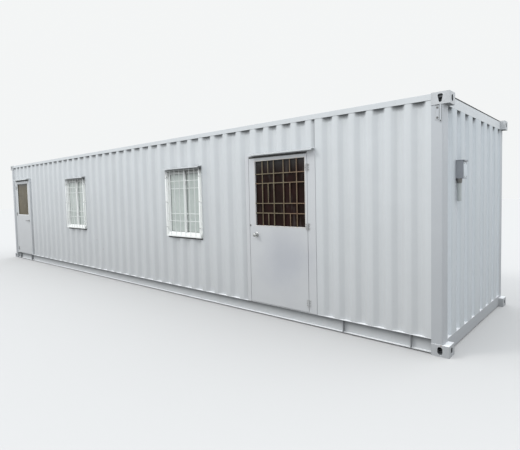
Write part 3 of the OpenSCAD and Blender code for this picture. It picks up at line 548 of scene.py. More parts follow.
def makePlywood(name, values):
    material, tree, place = startMaterial(name)
    grain = useGroup(tree, "grainLines", Vector=place, Across=34.0, Along=1.3, Wander=1.0)
    colour = mixColour(grain["Shade"], values["colour"], values["second"])
    bricks = addNode(tree, "ShaderNodeTexBrick", {
        "Vector": place, "Color1": (0, 0, 0, 1), "Color2": (0.25, 0.25, 0.25, 1), "Mortar": (1, 1, 1, 1),
        "Scale": 1.0, "Mortar Size": values["gap"], "Brick Width": values["sheet"][1],
        "Row Height": values["sheet"][0]}, offset=0.5).outputs
    colour = mixColour(Value(tree, bricks["Color"]), colour, values["dirt"])
    patches = useGroup(tree, "mottle", Vector=place, Scale=2.2, Contrast=1.8)
    colour = mixColour(patches["Shade"] * 0.5, colour, values["dirt"])
    return finishMaterial(material, colour, patches["Shade"] * 0.25 + values["roughness"],
                          grain["Height"] - Value(tree, bricks["Fac"]), 0.3, 0.002, {})


underbodyValues = {"colour": (0.075, 0.077, 0.078), "second": (0.13, 0.125, 0.12), "rust": 0.60}


def makeUnderbody(name, values):
    material, tree, place = startMaterial(name)
    patches = useGroup(tree, "mottle", Vector=place, Scale=4.0, Contrast=1.6)
    colour = mixColour(patches["Shade"], values["colour"], values["second"])
    rust = useGroup(tree, "rustSpots", Vector=place, Scale=9.0, Threshold=values["rust"])
    colour = mixColour(rust["Mask"], colour, rust["Colour"])
    return finishMaterial(material, colour, patches["Shade"].ranged(0.0, 1.0, 0.6, 0.85), patches["Height"],
                          0.5, 0.004, {})


boxValues = {"colour": (0.285, 0.30, 0.325), "second": (0.235, 0.245, 0.265), "roughness": 0.42}
coverValues = {"colour": (0.60, 0.64, 0.67), "second": (0.53, 0.57, 0.60), "roughness": 0.40}
trimValues = {"colour": (0.66, 0.63, 0.60), "second": (0.52, 0.49, 0.47), "roughness": 0.45}
conduitValues = {"colour": (0.43, 0.455, 0.455), "second": (0.32, 0.345, 0.345), "roughness": 0.48}
rubberValues = {"colour": (0.030, 0.031, 0.032), "second": (0.075, 0.074, 0.070), "roughness": 0.68}


def makePlastic(name, values):
    material, tree, place = startMaterial(name)
    patches = useGroup(tree, "mottle", Vector=place, Scale=8.0, Contrast=1.5)
    runs = useGroup(tree, "waterRuns", Vector=place, Closeness=40.0, Length=4.0, Threshold=0.57)["Mask"]
    colour = mixColour((patches["Shade"] * 0.8 + runs * 0.2).clamped(), values["colour"], values["second"])
    return finishMaterial(material, colour, patches["Shade"] * 0.15 + values["roughness"], patches["Height"],
                          0.2, 0.001, {})


finishes = {name: make(name, values) for name, make, values in (
    ("wallPaint", makePaint, wallPaintValues), ("endPaint", makePaint, endPaintValues),
    ("railPaint", makePaint, railPaintValues), ("roofPaint", makePaint, roofPaintValues),
    ("footPaint", makePaint, footPaintValues), ("framePaint", makePaint, framePaintValues),
    ("castingPaint", makePaint, castingPaintValues), ("doorPaint", makePaint, doorPaintValues),
    ("whiteEnamel", makeEnamel, whiteValues), ("barEnamel", makeEnamel, barValues),
    ("windowGlass", makeGlass, windowGlassValues), ("darkGlass", makeGlass, darkGlassValues),
    ("bronzeGlass", makeGlass, bronzeGlassValues), ("brightSteel", makeMetal, brightValues),
    ("dullSteel", makeMetal, dullValues), ("hingeSteel", makeMetal, hingeValues),
    ("bronzePaint", makeMetal, bronzeValues), ("floorPlywood", makePlywood, plywoodValues),
    ("underbodyCoat", makeUnderbody, underbodyValues), ("greyBox", makePlastic, boxValues),
    ("boxCover", makePlastic, coverValues), ("paleTrim", makePlastic, trimValues),
    ("conduitPlastic", makePlastic, conduitValues), ("sealRubber", makePlastic, rubberValues))}
print("stage: finishes,", len(finishes))


# a Geometry Nodes tree from a recipe; at its end copies are made real and get their finish
def makeTree(name, recipe, inputs):
    tree = bpy.data.node_groups.new(name, "GeometryNodeTree")
    tree.is_modifier = True
    face = tree.interface
    face.new_socket(name="Geometry", in_out="INPUT", socket_type="NodeSocketGeometry")
    for label, default in inputs.items():
        kind = "NodeSocketInt" if isinstance(default, int) else "NodeSocketFloat"
        face.new_socket(name=label, in_out="INPUT", socket_type=kind).default_value = default
    face.new_socket(name="Finish", in_out="INPUT", socket_type="NodeSocketMaterial")
    face.new_socket(name="Geometry", in_out="OUTPUT", socket_type="NodeSocketGeometry")
    given = {socket.name: Value(tree, socket) for socket in tree.nodes.new("NodeGroupInput").outputs if socket.name}
    made = nodeValue(tree, "GeometryNodeRealizeInstances", {0: recipe(given)})
    done = nodeValue(tree, "GeometryNodeSetMaterial", {"Geometry": made, "Material": given["Finish"]})
    done.feed(tree.nodes.new("NodeGroupOutput").inputs["Geometry"])
    return tree


def randomValue(low, high, seed):
    node = addNode(seed.tree, "FunctionNodeRandomValue", {"Min": low, "Max": high, "Seed": seed}, data_type="FLOAT")
    return Value(seed.tree, next(s for s in node.outputs if s.enabled and s.type == "VALUE"))


# the edges of the host as curves, cut into even steps if a spacing is given
def edgeCurves(geometry, spacing=None):
    path = nodeValue(geometry.tree, "GeometryNodeMeshToCurve", {0: geometry})
    if spacing is None:
        return path
    return nodeValue(path.tree, "GeometryNodeResampleCurve", {"Curve": path, "Length": spacing}, mode="LENGTH")


def roundTube(path, given, scale=None):
    circle = nodeValue(path.tree, "GeometryNodeCurvePrimitiveCircle", {
        "Resolution": given["Sides"], "Radius": given["Radius"]})
    tube = addNode(path.tree, "GeometryNodeCurveToMesh", {"Curve": path, "Profile Curve": circle, "Fill Caps": True})
    if scale and "Scale" in tube.inputs:
        scale.feed(tube.inputs["Scale"])
    return Value(path.tree, tube.outputs[0])


bendShares = (-1.0, -0.5, 0.0, 0.5, 1.0)


# presses a row of rounded recesses into an upright flat sheet
def pressedWaves(given):
    tree = given["Geometry"].tree
    here = nodeValue(tree, "GeometryNodeInputPosition")
    x = axes(here)[0]
    step = ((x - given["First"]) / given["Pitch"]).math("ROUND").atLeast(0.0).math("MINIMUM", given["Count"] - 1.0)
    away = abs(x - (given["First"] + step * given["Pitch"]))
    edge = given["Flat"] * 0.5
    foot = edge + given["Slope"]
    ramps = [(away + given["Bend"] * share).ranged(foot, edge) for share in bendShares]
    depth = sum(ramps[1:], ramps[0]) * 0.2 * given["Depth"]  # the mean of the five ramps rounds the bends
    buckle = nodeValue(tree, "ShaderNodeTexNoise", {"Vector": here, "Scale": 1.9, "Detail": 1.0}) * given["Uneven"]
    offset = nodeValue(tree, "ShaderNodeCombineXYZ", {1: depth + buckle})
    return nodeValue(tree, "GeometryNodeSetPosition", {"Geometry": given["Geometry"], "Offset": offset})


# low round heads on washers, one at each point, facing along the point's aim
def fixingHeads(given):
    tree, radius, height = given["Geometry"].tree, given["Radius"], given["Height"]
    dome = nodeValue(tree, "GeometryNodeMeshCone", {
        "Vertices": given["Sides"], "Radius Top": radius * 0.72, "Radius Bottom": radius, "Depth": height}, "Mesh")
    ring = nodeValue(tree, "GeometryNodeMeshCylinder", {
        "Vertices": 16, "Radius": radius * given["Washer"], "Depth": height * 0.4}, "Mesh")
    lift = nodeValue(tree, "ShaderNodeCombineXYZ", {2: height * 0.2})
    head = addNode(tree, "GeometryNodeJoinGeometry")
    nodeValue(tree, "GeometryNodeTransform", {"Geometry": dome, "Translation": lift}).feed(head.inputs[0])
    ring.feed(head.inputs[0])
    aim = nodeValue(tree, "GeometryNodeInputNamedAttribute", {"Name": "aim"}, data_type="FLOAT_VECTOR")
    turn = nodeValue(tree, "FunctionNodeAlignRotationToVector", {"Vector": aim}, axis="Z")
    about = nodeValue(tree, "ShaderNodeCombineXYZ", {2: randomValue(0.0, 6.28, given["Seed"])})
    spin = nodeValue(tree, "FunctionNodeEulerToRotation", {0: about})
    turn = nodeValue(tree, "FunctionNodeRotateRotation", {"Rotation": turn, "Rotate By": spin}, rotation_space="LOCAL")
    return nodeValue(tree, "GeometryNodeInstanceOnPoints", {
        "Points": given["Geometry"], "Instance": Value(tree, head.outputs[0]), "Rotation": turn})


# overlapping ripples of a weld along the host's edges
def weldBead(given):
    drop = nodeValue(given["Geometry"].tree, "GeometryNodeMeshIcoSphere", {
        "Radius": given["Radius"], "Subdivisions": 1})
    return nodeValue(drop.tree, "GeometryNodeInstanceOnPoints", {
        "Points": edgeCurves(given["Geometry"], given["Spacing"]), "Instance": drop,
        "Scale": randomValue(0.8, 1.25, given["Seed"])})


# round rods along the host's edges
def roundRods(given):
    return roundTube(edgeCurves(given["Geometry"]), given)


# a tube with ribs round it, for bendable conduit
def ribbedTube(given):
    path = edgeCurves(given["Geometry"], given["Rib Spacing"] / 6.0)
    along = nodeValue(path.tree, "GeometryNodeSplineParameter", output="Length")
    swell = (along / given["Rib Spacing"] * (2 * math.pi)).math("SINE") * given["Rib Height"]
    radius = swell + 1.0 - given["Rib Height"]
    path = nodeValue(path.tree, "GeometryNodeSetCurveRadius", {"Curve": path, "Radius": radius})
    return roundTube(path, given, radius)


trees = {recipe.__name__: makeTree(recipe.__name__, recipe, inputs) for recipe, inputs in (
    (pressedWaves, {"First": 0.0, "Pitch": 0.278, "Count": 3, "Flat": 0.07, "Slope": 0.068, "Depth": 0.036,
                    "Bend": 0.01, "Uneven": 0.0}),
    (fixingHeads, {"Radius": 0.006, "Height": 0.003, "Washer": 1.5, "Sides": 12, "Seed": 3}),
    (weldBead, {"Spacing": 0.006, "Radius": 0.004, "Seed": 5}),
    (roundRods, {"Radius": 0.005, "Sides": 10}),
    (ribbedTube, {"Radius": 0.02, "Rib Spacing": 0.008, "Rib Height": 0.08, "Sides": 24}))}


def newPiece(name, points, edges=(), faces=(), aim=None, finish=None):
    mesh = bpy.data.meshes.new(name)
    mesh.from_pydata([tuple(p) for p in points], list(edges), list(faces))
    if aim:
        mesh.attributes.new("aim", "FLOAT_VECTOR", "POINT").data.foreach_set("vector", [c for _ in points for c in aim])
    if finish:
        mesh.materials.append(finishes[finish])
    return putInScene(name, mesh)


def putInScene(name, mesh):
    piece = bpy.data.objects.new(name, mesh)
    bpy.context.scene.collection.objects.link(piece)
    return piece


# separate straight lines, each from one point to another
def linePiece(name, lines):
    return newPiece(name, [p for line in lines for p in line], [(2 * i, 2 * i + 1) for i in range(len(lines))])


def growWith(piece, treeName, finish, **values):
    modifier = piece.modifiers.new(treeName, "NODES")
    modifier.node_group = trees[treeName]
    values = {label.replace("_", " "): value for label, value in values.items()}
    values["Finish"] = finishes[finish]
    for item in trees[treeName].interface.items_tree:
        if item.item_type == "SOCKET" and item.in_out == "INPUT" and item.name in values:
            modifier[item.identifier] = values[item.name]
    return piece


def roundEdges(piece, width, segments=2, angle=30):
    bevel = piece.modifiers.new("roundedEdges", "BEVEL")
    bevel.width, bevel.segments, bevel.limit_method = width, segments, "ANGLE"
    bevel.angle_limit = math.radians(angle)
    return piece


def makePlain(piece, smoothAngle=None):
    graph = bpy.context.evaluated_depsgraph_get()
    mesh = bpy.data.meshes.new_from_object(piece.evaluated_get(graph), preserve_all_data_layers=True, depsgraph=graph)
    piece.modifiers.clear()
    piece.data = mesh
    if "aim" in mesh.attributes:
        mesh.attributes.remove(mesh.attributes["aim"])
    if smoothAngle is not None:
        mesh.shade_smooth()
        mesh.set_sharp_from_angle(angle=math.radians(smoothAngle))
    return piece


def attach(piece, body, replaced=()):
    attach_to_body(piece, body)
    if replaced:
        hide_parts(*replaced)
    return piece


def bodyOf(node):
    parent = frame["nodes"][node].parent
    return next(name for name, empty in frame["bodies"].items() if empty is parent)


def paintNode(node, finish):
    item = frame["nodes"][node]
    for slotHere in item.material_slots:
        slotHere.material = finishes[finish]
    if not item.material_slots:
        item.data.materials.append(finishes[finish])


# runs steps on a mesh, after joining points that lie on top of each other
def reworked(mesh, steps):
    work = bmesh.new()
    work.from_mesh(mesh)
    bmesh.ops.remove_doubles(work, verts=work.verts, dist=0.00002)
    steps(work)
    work.to_mesh(mesh)
    work.free()


def turnOutwards(work):
    bmesh.ops.recalc_face_normals(work, faces=work.faces)


def dropSeams(work):
    bmesh.ops.dissolve_limit(work, angle_limit=math.radians(0.5), verts=work.verts, edges=work.edges)
    for face in work.faces:
        face.material_index, face.smooth = 0, True


# a copy of a CAD node with its loose triangles joined and its edges rounded
def roundedCopy(node, name, width, finish):
    mesh = frame["nodes"][node].data.copy()
    mesh.materials.clear()
    mesh.materials.append(finishes[finish])
    reworked(mesh, dropSeams)
    piece = roundEdges(putInScene(name, mesh), width, 2, 40)
    piece.modifiers.new("evenNormals", "WEIGHTED_NORMAL").keep_sharp = True
    return attach(makePlain(piece), bodyOf(node), [node])


# a turned shape: profile is (radius, distance along the axis), from one pole to the other
def turnedPiece(name, profile, where, axis, finish, sides=40):
    points, faces = [], []
    along = Vector(axis).normalized()
    side = along.orthogonal().normalized()
    other = along.cross(side)
    for radius, far in profile:
        for k in range(sides):
            angle = 2 * math.pi * k / sides
            spoke = side * math.cos(angle) + other * math.sin(angle)
            points.append(Vector(where) + along * far + spoke * radius)
    for row in range(0, (len(profile) - 1) * sides, sides):
        for k in range(sides):
            n = (k + 1) % sides
            faces.append((row + k, row + n, row + sides + n, row + sides + k))
    piece = newPiece(name, points, (), faces, None, finish)
    reworked(piece.data, turnOutwards)
    piece.data.shade_smooth()
    piece.data.set_sharp_from_angle(angle=math.radians(35))
    return piece


def joined(name, parts):
    work = bmesh.new()
    for part in parts:
        work.from_mesh(part.data)
    mesh = bpy.data.meshes.new(name)
    work.to_mesh(mesh)
    work.free()
    for material in parts[0].data.materials:
        mesh.materials.append(material)
    mesh.polygons.foreach_set("use_smooth", [face.use_smooth for part in parts for face in part.data.polygons])
    for part in parts:
        bpy.data.objects.remove(part)
    return putInScene(name, mesh)


# upright rectangular blocks (x0, x1, y0, y1, z0, z1) with rounded edges, as one piece
def slabs(name, boxes, finish, body, replaced=(), edge=0.0006, segments=2):
    points, faces = [], []
    for x0, x1, y0, y1, z0, z1 in boxes:
        n = len(points)
        points += [(x, y, z) for z in (z0, z1) for x, y in ((x0, y0), (x1, y0), (x1, y1), (x0, y1))]
        faces += [tuple(n + k for k in face) for face in (
            (3, 2, 1, 0), (4, 5, 6, 7), (0, 1, 5, 4), (1, 2, 6, 5), (2, 3, 7, 6), (3, 0, 4, 7))]
    piece = roundEdges(newPiece(name, points, (), faces, None, finish), edge, segments)
    return attach(makePlain(piece, 40), body, replaced)


def rods(name, lines, radius, finish, body, sides=10):
    piece = growWith(linePiece(name, lines), "roundRods", finish, Radius=radius, Sides=sides)
    return attach(makePlain(piece, 60), body)


# the four sides of an upright rectangle as lines
def fourSides(x0, x1, z0, z1, y):
    return [((x0, y, z0), (x1, y, z0)), ((x0, y, z1), (x1, y, z1)),
            ((x0, y, z0), (x0, y, z1)), ((x1, y, z0), (x1, y, z1))]


# the four sides of a flat border as blocks; face is its width
def border(x0, x1, y0, y1, z0, z1, face, setBack=0.0004):
    half = face / 2
    return [(x0, x0 + face, y0, y1, z0, z1), (x1 - face, x1, y0, y1, z0, z1),
            (x0 + half, x1 - half, y0 + setBack, y1, z0, z0 + face),
            (x0 + half, x1 - half, y0 + setBack, y1, z1 - face, z1)]


wallValues = {"outer": 1.210, "face": 6.036, "sheet": 0.002, "rows": 8, "uneven": 0.0012}
mainWave = {"First": -5.830, "Pitch": 0.278, "Count": 34, "Flat": 0.070, "Slope": 0.068, "Depth": 0.036, "Bend": 0.011}
overWave = dict(mainWave, First=3.614, Pitch=0.231, Count=5, Flat=0.046, Slope=0.056)
closeWave = dict(mainWave, First=4.6965, Pitch=0.2185, Count=6, Flat=0.046, Slope=0.056)
backWave = dict(mainWave, First=-5.568, Count=42)
endLeftWave = {"First": -1.007, "Pitch": 0.277, "Count": 4, "Flat": 0.094, "Slope": 0.018, "Depth": 0.045,
               "Bend": 0.007}
endRightWave = dict(endLeftWave, First=0.176)


def waveColumns(wave, x0, x1):
    columns = set()
    for i in range(wave["Count"]):
        centre = wave["First"] + i * wave["Pitch"]
        for edge in (wave["Flat"] / 2, wave["Flat"] / 2 + wave["Slope"]):
            for share in bendShares:
                columns.update(round(centre + side * (edge + share * wave["Bend"]), 5) for side in (-1, 1))
    return [x for x in columns if x0 + 0.0004 < x < x1 - 0.0004]


# faces of a grid of points, leaving out the hole (x0, x1, z0, z1)
def gridFaces(columns, rows, hole):
    faces, high = [], len(rows)
    for i in range(len(columns) - 1):
        for j in range(high - 1):
            x, z, k = (columns[i] + columns[i + 1]) / 2, (rows[j] + rows[j + 1]) / 2, i * high + j
            if not (hole and hole[0] < x < hole[1] and hole[2] < z < hole[3]):
                faces.append((k, k + high, k + high + 1, k + 1))
    return faces


def thicken(piece, thickness):
    thick = piece.modifiers.new("sheet", "SOLIDIFY")
    thick.thickness, thick.offset = thickness, -1.0


# hole is (x0, x1, z0, z1); move places the finished sheet
def wallSheet(name, node, x0, x1, waves, hole, move, finish="wallPaint"):
    low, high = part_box(node)
    z0, z1, count = low.z, high.z, wallValues["rows"]
    columns = {x0, x1}.union(*(waveColumns(wave, x0, x1) for wave in waves), hole[:2])
    rows = {z0 + (z1 - z0) * i / count for i in range(count + 1)}.union(hole[2:])
    columns, rows = sorted(columns), sorted(rows)
    piece = newPiece(name, [(x, 0.0, z) for x in columns for z in rows], (), gridFaces(columns, rows, hole))
    for number, wave in enumerate(waves):
        growWith(piece, "pressedWaves", finish, Uneven=0.0 if number else wallValues["uneven"], **wave)
    thicken(piece, wallValues["sheet"])
    makePlain(piece, 34)
    piece.data.transform(move)
    return attach(piece, "root", [node])


def windowHole(side, play=0.001):
    low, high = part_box(side + "_window_frame")
    return low.x - play, high.x + play, low.z - play, high.z + play


for node, name, waves, hole in (
        ("front_wall_left", "frontSheetLeftEdge", [mainWave], ()),
        ("front_wall_over_far_door", "frontSheetOverFarDoor", [mainWave], ()),
        ("front_wall_far_window", "frontSheetFarWindow", [mainWave], windowHole("far")),
        ("front_wall_near_window", "frontSheetNearWindow", [mainWave], windowHole("near")),
        ("front_wall_over_near_door", "frontSheetOverNearDoor", [mainWave, overWave], ()),
        ("front_wall_right", "frontSheetRight", [closeWave], ())):
    low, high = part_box(node)
    wallSheet(name, node, low.x, high.x, waves, hole, Matrix.Translation((0, -wallValues["outer"], 0)))
low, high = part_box("back_wall")
wallSheet("backSheet", "back_wall", -high.x, -low.x, [backWave], (),
          Matrix.Translation((0, wallValues["outer"], 0)) @ Matrix.Rotation(math.pi, 4, "Z"))
for node, name, side in (("right_end_wall", "rightEndSheet", 1), ("left_end_wall", "leftEndSheet", -1)):
    low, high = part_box(node)
    turn = Matrix.Rotation(side * math.pi / 2, 4, "Z")
    wallSheet(name, node, low.y, high.y, [endLeftWave, endRightWave], (),
              Matrix.Translation((side * wallValues["face"], 0, 0)) @ turn, "endPaint")
print("stage: corrugated walls")

roundings = {
    "top_corner_castings": ("topCastings", 0.006, "castingPaint"),
    "bottom_corner_castings": ("bottomCastings", 0.006, "castingPaint"),
    "corner_posts": ("cornerPosts", 0.0025, "framePaint"),
    "top_side_rails": ("topRails", 0.0015, "railPaint"),
    "bottom_side_rails": ("bottomRails", 0.0012, "footPaint"),
    "end_headers": ("endHeaders", 0.0015, "railPaint"),
    "end_sills": ("endSills", 0.0015, "framePaint"),
    "roof_corner_plates": ("roofCornerPlates", 0.0008, "railPaint"),
    "near_door_frame": ("nearDoorFrame", 0.0014, "doorPaint"),
    "far_door_frame": ("farDoorFrame", 0.0014, "wallPaint"),
    "near_door_hood": ("nearDoorHood", 0.0009, "railPaint"),
    "far_door_hood": ("farDoorHood", 0.0009, "railPaint"),
    "near_window_hood": ("nearWindowHood", 0.0009, "railPaint"),
    "far_window_hood": ("farWindowHood", 0.0009, "railPaint"),
    "lug_bracket": ("lugBracket", 0.0008, "framePaint"),
}
for node, (name, width, finish) in roundings.items():
    roundedCopy(node, name, width, finish)
for node, finish in (("roof", "roofPaint"), ("floor", "floorPlywood"), ("cross_members", "underbodyCoat")):
    paintNode(node, finish)
print("stage: frame")

# door leaves: light is the opening (x0, x1, z0, z1), dents are (x, z, half width, half height, depth)
leafValues = {
    "near": {"light": (3.522, 4.364, 1.226, 2.086), "edge": 0.0022, "cell": 0.030, "dents": [
        (4.02, 0.78, 0.22, 0.26, 0.0032), (3.70, 0.52, 0.20, 0.30, -0.0010), (3.62, 0.98, 0.14, 0.10, 0.0014),
        (4.22, 0.42, 0.12, 0.20, 0.0018), (3.85, 1.12, 0.26, 0.05, 0.0010)]},
    "far": {"light": (-5.641, -4.901, 1.229, 2.055), "edge": 0.0022, "cell": 0.035, "dents": [
        (-5.30, 0.70, 0.24, 0.30, 0.0020), (-5.05, 0.95, 0.14, 0.12, 0.0012)]},
}


def smoothStep(value):
    value = min(max(value, 0.0), 1.0)
    return value * value * (3 - 2 * value)


def evenSteps(low, high, cell, stops):
    marks = sorted({low, high, *[s for s in stops if low < s < high]})
    steps = [low]
    for a, b in zip(marks, marks[1:]):
        count = max(1, round((b - a) / cell))
        steps += [a + (b - a) * k / count for k in range(1, count + 1)]
    return steps


def leafSheet(door, values):
    node = door + "_door_leaf"
    low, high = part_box(node)
    x0, x1, z0, z1 = values["light"]
    columns = evenSteps(low.x, high.x, values["cell"], (x0, x1))
    rows = evenSteps(low.z, high.z, values["cell"], (z0, z1))
    points = []
    for x in columns:
        for z in rows:
            rim = min(x - low.x, high.x - x, z - low.z, high.z - z)
            beside = max(x0 - x, x - x1, z0 - z, z - z1)
            calm = smoothStep((rim - 0.006) / 0.06) * smoothStep((beside - 0.004) / 0.06)
            dent = sum(d * math.exp(-((x - cx) / w) ** 2 - ((z - cz) / h) ** 2) for cx, cz, w, h, d in values["dents"])
            points.append((x, low.y + max(dent, 0.0) * calm, z))
    faces = gridFaces(columns, rows, values["light"])
    piece = newPiece(door + "DoorLeaf", points, (), faces, None, "doorPaint")
    piece.data.shade_smooth()
    thicken(piece, high.y - low.y)
    roundEdges(piece, values["edge"], 2, 40)
    piece.modifiers.new("evenNormals", "WEIGHTED_NORMAL").keep_sharp = True
    makePlain(piece)
    attach(piece, door + "_door", [node])


for door in ("near", "far"):
    leafSheet(door, leafValues[door])
    paintNode(door + "_door_glass", "darkGlass" if door == "near" else "bronzeGlass")
    for part in ("leaf", "frame"):
        roundedCopy(door + "_door_" + part + "_hinges", door + "Door" + part.title() + "Hinges", 0.0010,
                    "hingeSteel")
print("stage: door leaves")

# grille, trims and rubber seals of the doors; shares run across and down the opening
grilleValues = {"bar": 0.0115, "front": -1.2128, "back": -1.2012, "long": (0.155, 0.395, 0.59, 0.845),
                "short": (0.275, 0.715), "bands": (0.2, 0.345, 0.655, 0.805), "edge": 0.0018}
doorTrimValues = {"width": 0.009, "proud": 0.0022, "gasket": 0.0022, "seal": 0.0032}
leafFace = -1.2160  # the outer face of both leaves, in y
buried = 0.001      # how far a piece laid on a face reaches into it


def grille(values, light):
    x0, x1, z0, z1 = light
    wide, high, half = x1 - x0, z1 - z0, values["bar"] / 2
    front, back, bands = values["front"], values["back"], values["bands"]
    boxes = [(x0 + u * wide - half, x0 + u * wide + half, front, back, z0, z1) for u in values["long"]]
    for v in bands:
        z = z1 - v * high
        boxes.append((x0, x1, front + 0.0008, back - 0.0006, z - half, z + half))
    for u in values["short"]:
        for a, b in ((0.0, bands[0]), (bands[1], bands[2]), (bands[3], 1.0)):
            boxes.append((x0 + u * wide - half * 0.9, x0 + u * wide + half * 0.9, front + 0.0012, back - 0.001,
                          z1 - b * high, z1 - a * high))
    slabs("nearDoorGrille", boxes, "bronzePaint", "near_door", ["near_door_grille"], values["edge"])


grille(grilleValues, leafValues["near"]["light"])
for door, finish, slotName, share in (("near", "paleTrim", "light_grey_paint", 1.0),
                                      ("far", "whiteEnamel", "white_frame", 1.6)):
    x0, x1, z0, z1 = leafValues[door]["light"]
    out = doorTrimValues["width"] * share
    trim = border(x0 - out, x1 + out, leafFace - doorTrimValues["proud"], leafFace + buried, z0 - out, z1 + out, out)
    slabs(door + "DoorLightTrim", trim, finish, door + "_door", (), 0.0005, 1)
    glassLow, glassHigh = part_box(door + "_door_glass")
    r = doorTrimValues["gasket"]
    rods(door + "DoorGlassSeal", fourSides(x0 + r, x1 - r, z0 + r, z1 - r, glassLow.y - r)
         + fourSides(x0 + r, x1 - r, z0 + r, z1 - r, glassHigh.y + r), r, "sealRubber", door + "_door", 6)
    leafLow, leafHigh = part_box(door + "_door_leaf")
    r = doorTrimValues["seal"]
    stop = fourSides(leafLow.x + r, leafHigh.x - r, leafLow.z + r, leafHigh.z - r, leafHigh.y - r / 2)
    rods(door + "DoorStopSeal", stop, r, "sealRubber", door + "_door", 8)
    slabs(door + "DoorTopWiper", [(leafLow.x + 0.006, leafHigh.x - 0.006, leafFace - 0.0025, leafFace + buried,
                                   leafHigh.z - 0.020, leafHigh.z - 0.002)], "sealRubber", door + "_door")

# knob, lever and latch stud; profiles are (radius, distance out from the leaf)
knobProfile = [
    (0.0, 0.0), (0.033, 0.0), (0.033, 0.002), (0.031, 0.005), (0.024, 0.0078), (0.014, 0.0095), (0.0118, 0.013),
    (0.0118, 0.018), (0.0165, 0.0205), (0.0225, 0.0255), (0.0265, 0.033), (0.0280, 0.042), (0.0275, 0.0495),
    (0.0252, 0.0568), (0.0208, 0.0632), (0.0150, 0.0677), (0.0128, 0.0690), (0.0120, 0.0674), (0.0066, 0.0674),
    (0.0060, 0.0690), (0.0, 0.0695)]
leverProfile = [(0.0, 0.0), (0.024, 0.0), (0.024, 0.004), (0.021, 0.007), (0.010, 0.0085), (0.0085, 0.012),
                (0.0085, 0.044), (0.0070, 0.0485), (0.0, 0.0492)]
gripProfile = [(0.0, -0.0105), (0.006, -0.0095), (0.009, -0.006), (0.0100, 0.0), (0.0095, 0.04), (0.0088, 0.09),
               (0.0100, 0.112), (0.0085, 0.121), (0.005, 0.1245), (0.0, 0.125)]
studProfile = [(0.0, 0.0), (0.013, 0.0), (0.013, 0.0018), (0.0105, 0.0022), (0.0095, 0.0075), (0.0065, 0.0105),
               (0.0, 0.0112)]


# the same shape on both faces of a leaf
def bothSides(door, name, profile, where, finish):
    low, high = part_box(door + "_door_leaf")
    return [turnedPiece(name + end, profile, (where[0], y, where[1]), (0, side, 0), finish)
            for end, y, side in (("Out", low.y, -1), ("In", high.y, 1))]


furnitureValues = {"knob": (3.538, 1.100), "lever": (-4.877, 1.073), "stud": (3.421, 1.224),
                   "grips": (-1.2600, -1.1320), "gripFlat": 0.58}  # places are (x, z), grips are y
attach(joined("nearDoorKnob", bothSides("near", "knob", knobProfile, furnitureValues["knob"], "brightSteel")),
       "near_door", ["near_door_knob"])
leverX, leverZ = furnitureValues["lever"]
leverParts = bothSides("far", "lever", leverProfile, (leverX, leverZ), "dullSteel")
for y in furnitureValues["grips"]:
    grip = turnedPiece("grip", gripProfile, (leverX, y, leverZ), (-1, 0, 0), "dullSteel", 28)
    for vertex in grip.data.vertices:
        vertex.co.y = y + (vertex.co.y - y) * furnitureValues["gripFlat"]
    leverParts.append(grip)
attach(joined("farDoorLever", leverParts), "far_door", ["far_door_lever"])
studX, studZ = furnitureValues["stud"]
attach(turnedPiece("nearDoorLatchStud", studProfile, (studX, leafFace, studZ), (0, -1, 0), "dullSteel", 28),
       "near_door")
print("stage: door furniture")

# windows: frame, sashes, guard, sill and seals
windowValues = {
    "frameEdge": 0.0018, "sashEdge": 0.0022, "guardFace": 0.030, "guardFront": -1.2500, "guardBack": -1.2420,
    "barRadius": 0.0050, "bars": 6, "bands": (0.175, 0.285, 0.655, 0.765), "uprightsAt": -1.2460, "bandsAt": -1.2440,
    "dotsAt": -1.2455, "dotShift": 0.0052, "lugWide": 0.012, "lugHigh": 0.024, "lugs": (0.12, 0.5, 0.88),
    "sillBack": -1.2162, "sillTop": 0.072, "sillFoot": 0.008, "sillLip": 0.022, "sillOut": 0.024,
    "sillSheet": 0.0016, "sillShadowY": (-1.2150, -1.2105), "sashes": ((0.034, -1.1880), (0.427, -1.1600)),
    "sashStart": 0.034, "sashWide": 0.439, "sashFace": 0.042, "glass": 0.005, "seal": 0.0022, "sealGap": 0.002,
}


def sillPiece(name, x0, x1, z, v):
    back, out, t = v["sillBack"], v["sillBack"] - v["sillOut"], v["sillSheet"]
    top, foot, lip = z + v["sillTop"], z + v["sillFoot"], z + v["sillFoot"] + v["sillLip"]
    profile = [(back, top), (out, lip), (out, foot), (out + t, foot), (out + t, lip - 0.001), (back, top - t * 2)]
    count = len(profile)
    points = [(x, y, h) for x in (x0, x1) for y, h in profile]
    faces = [tuple(range(count)), tuple(range(2 * count - 1, count - 1, -1))]
    faces += [(k, k + count, (k + 1) % count + count, (k + 1) % count) for k in range(count)]
    piece = newPiece(name, points, (), faces, None, "whiteEnamel")
    reworked(piece.data, turnOutwards)
    return attach(makePlain(roundEdges(piece, 0.0004, 1), 30), "root")


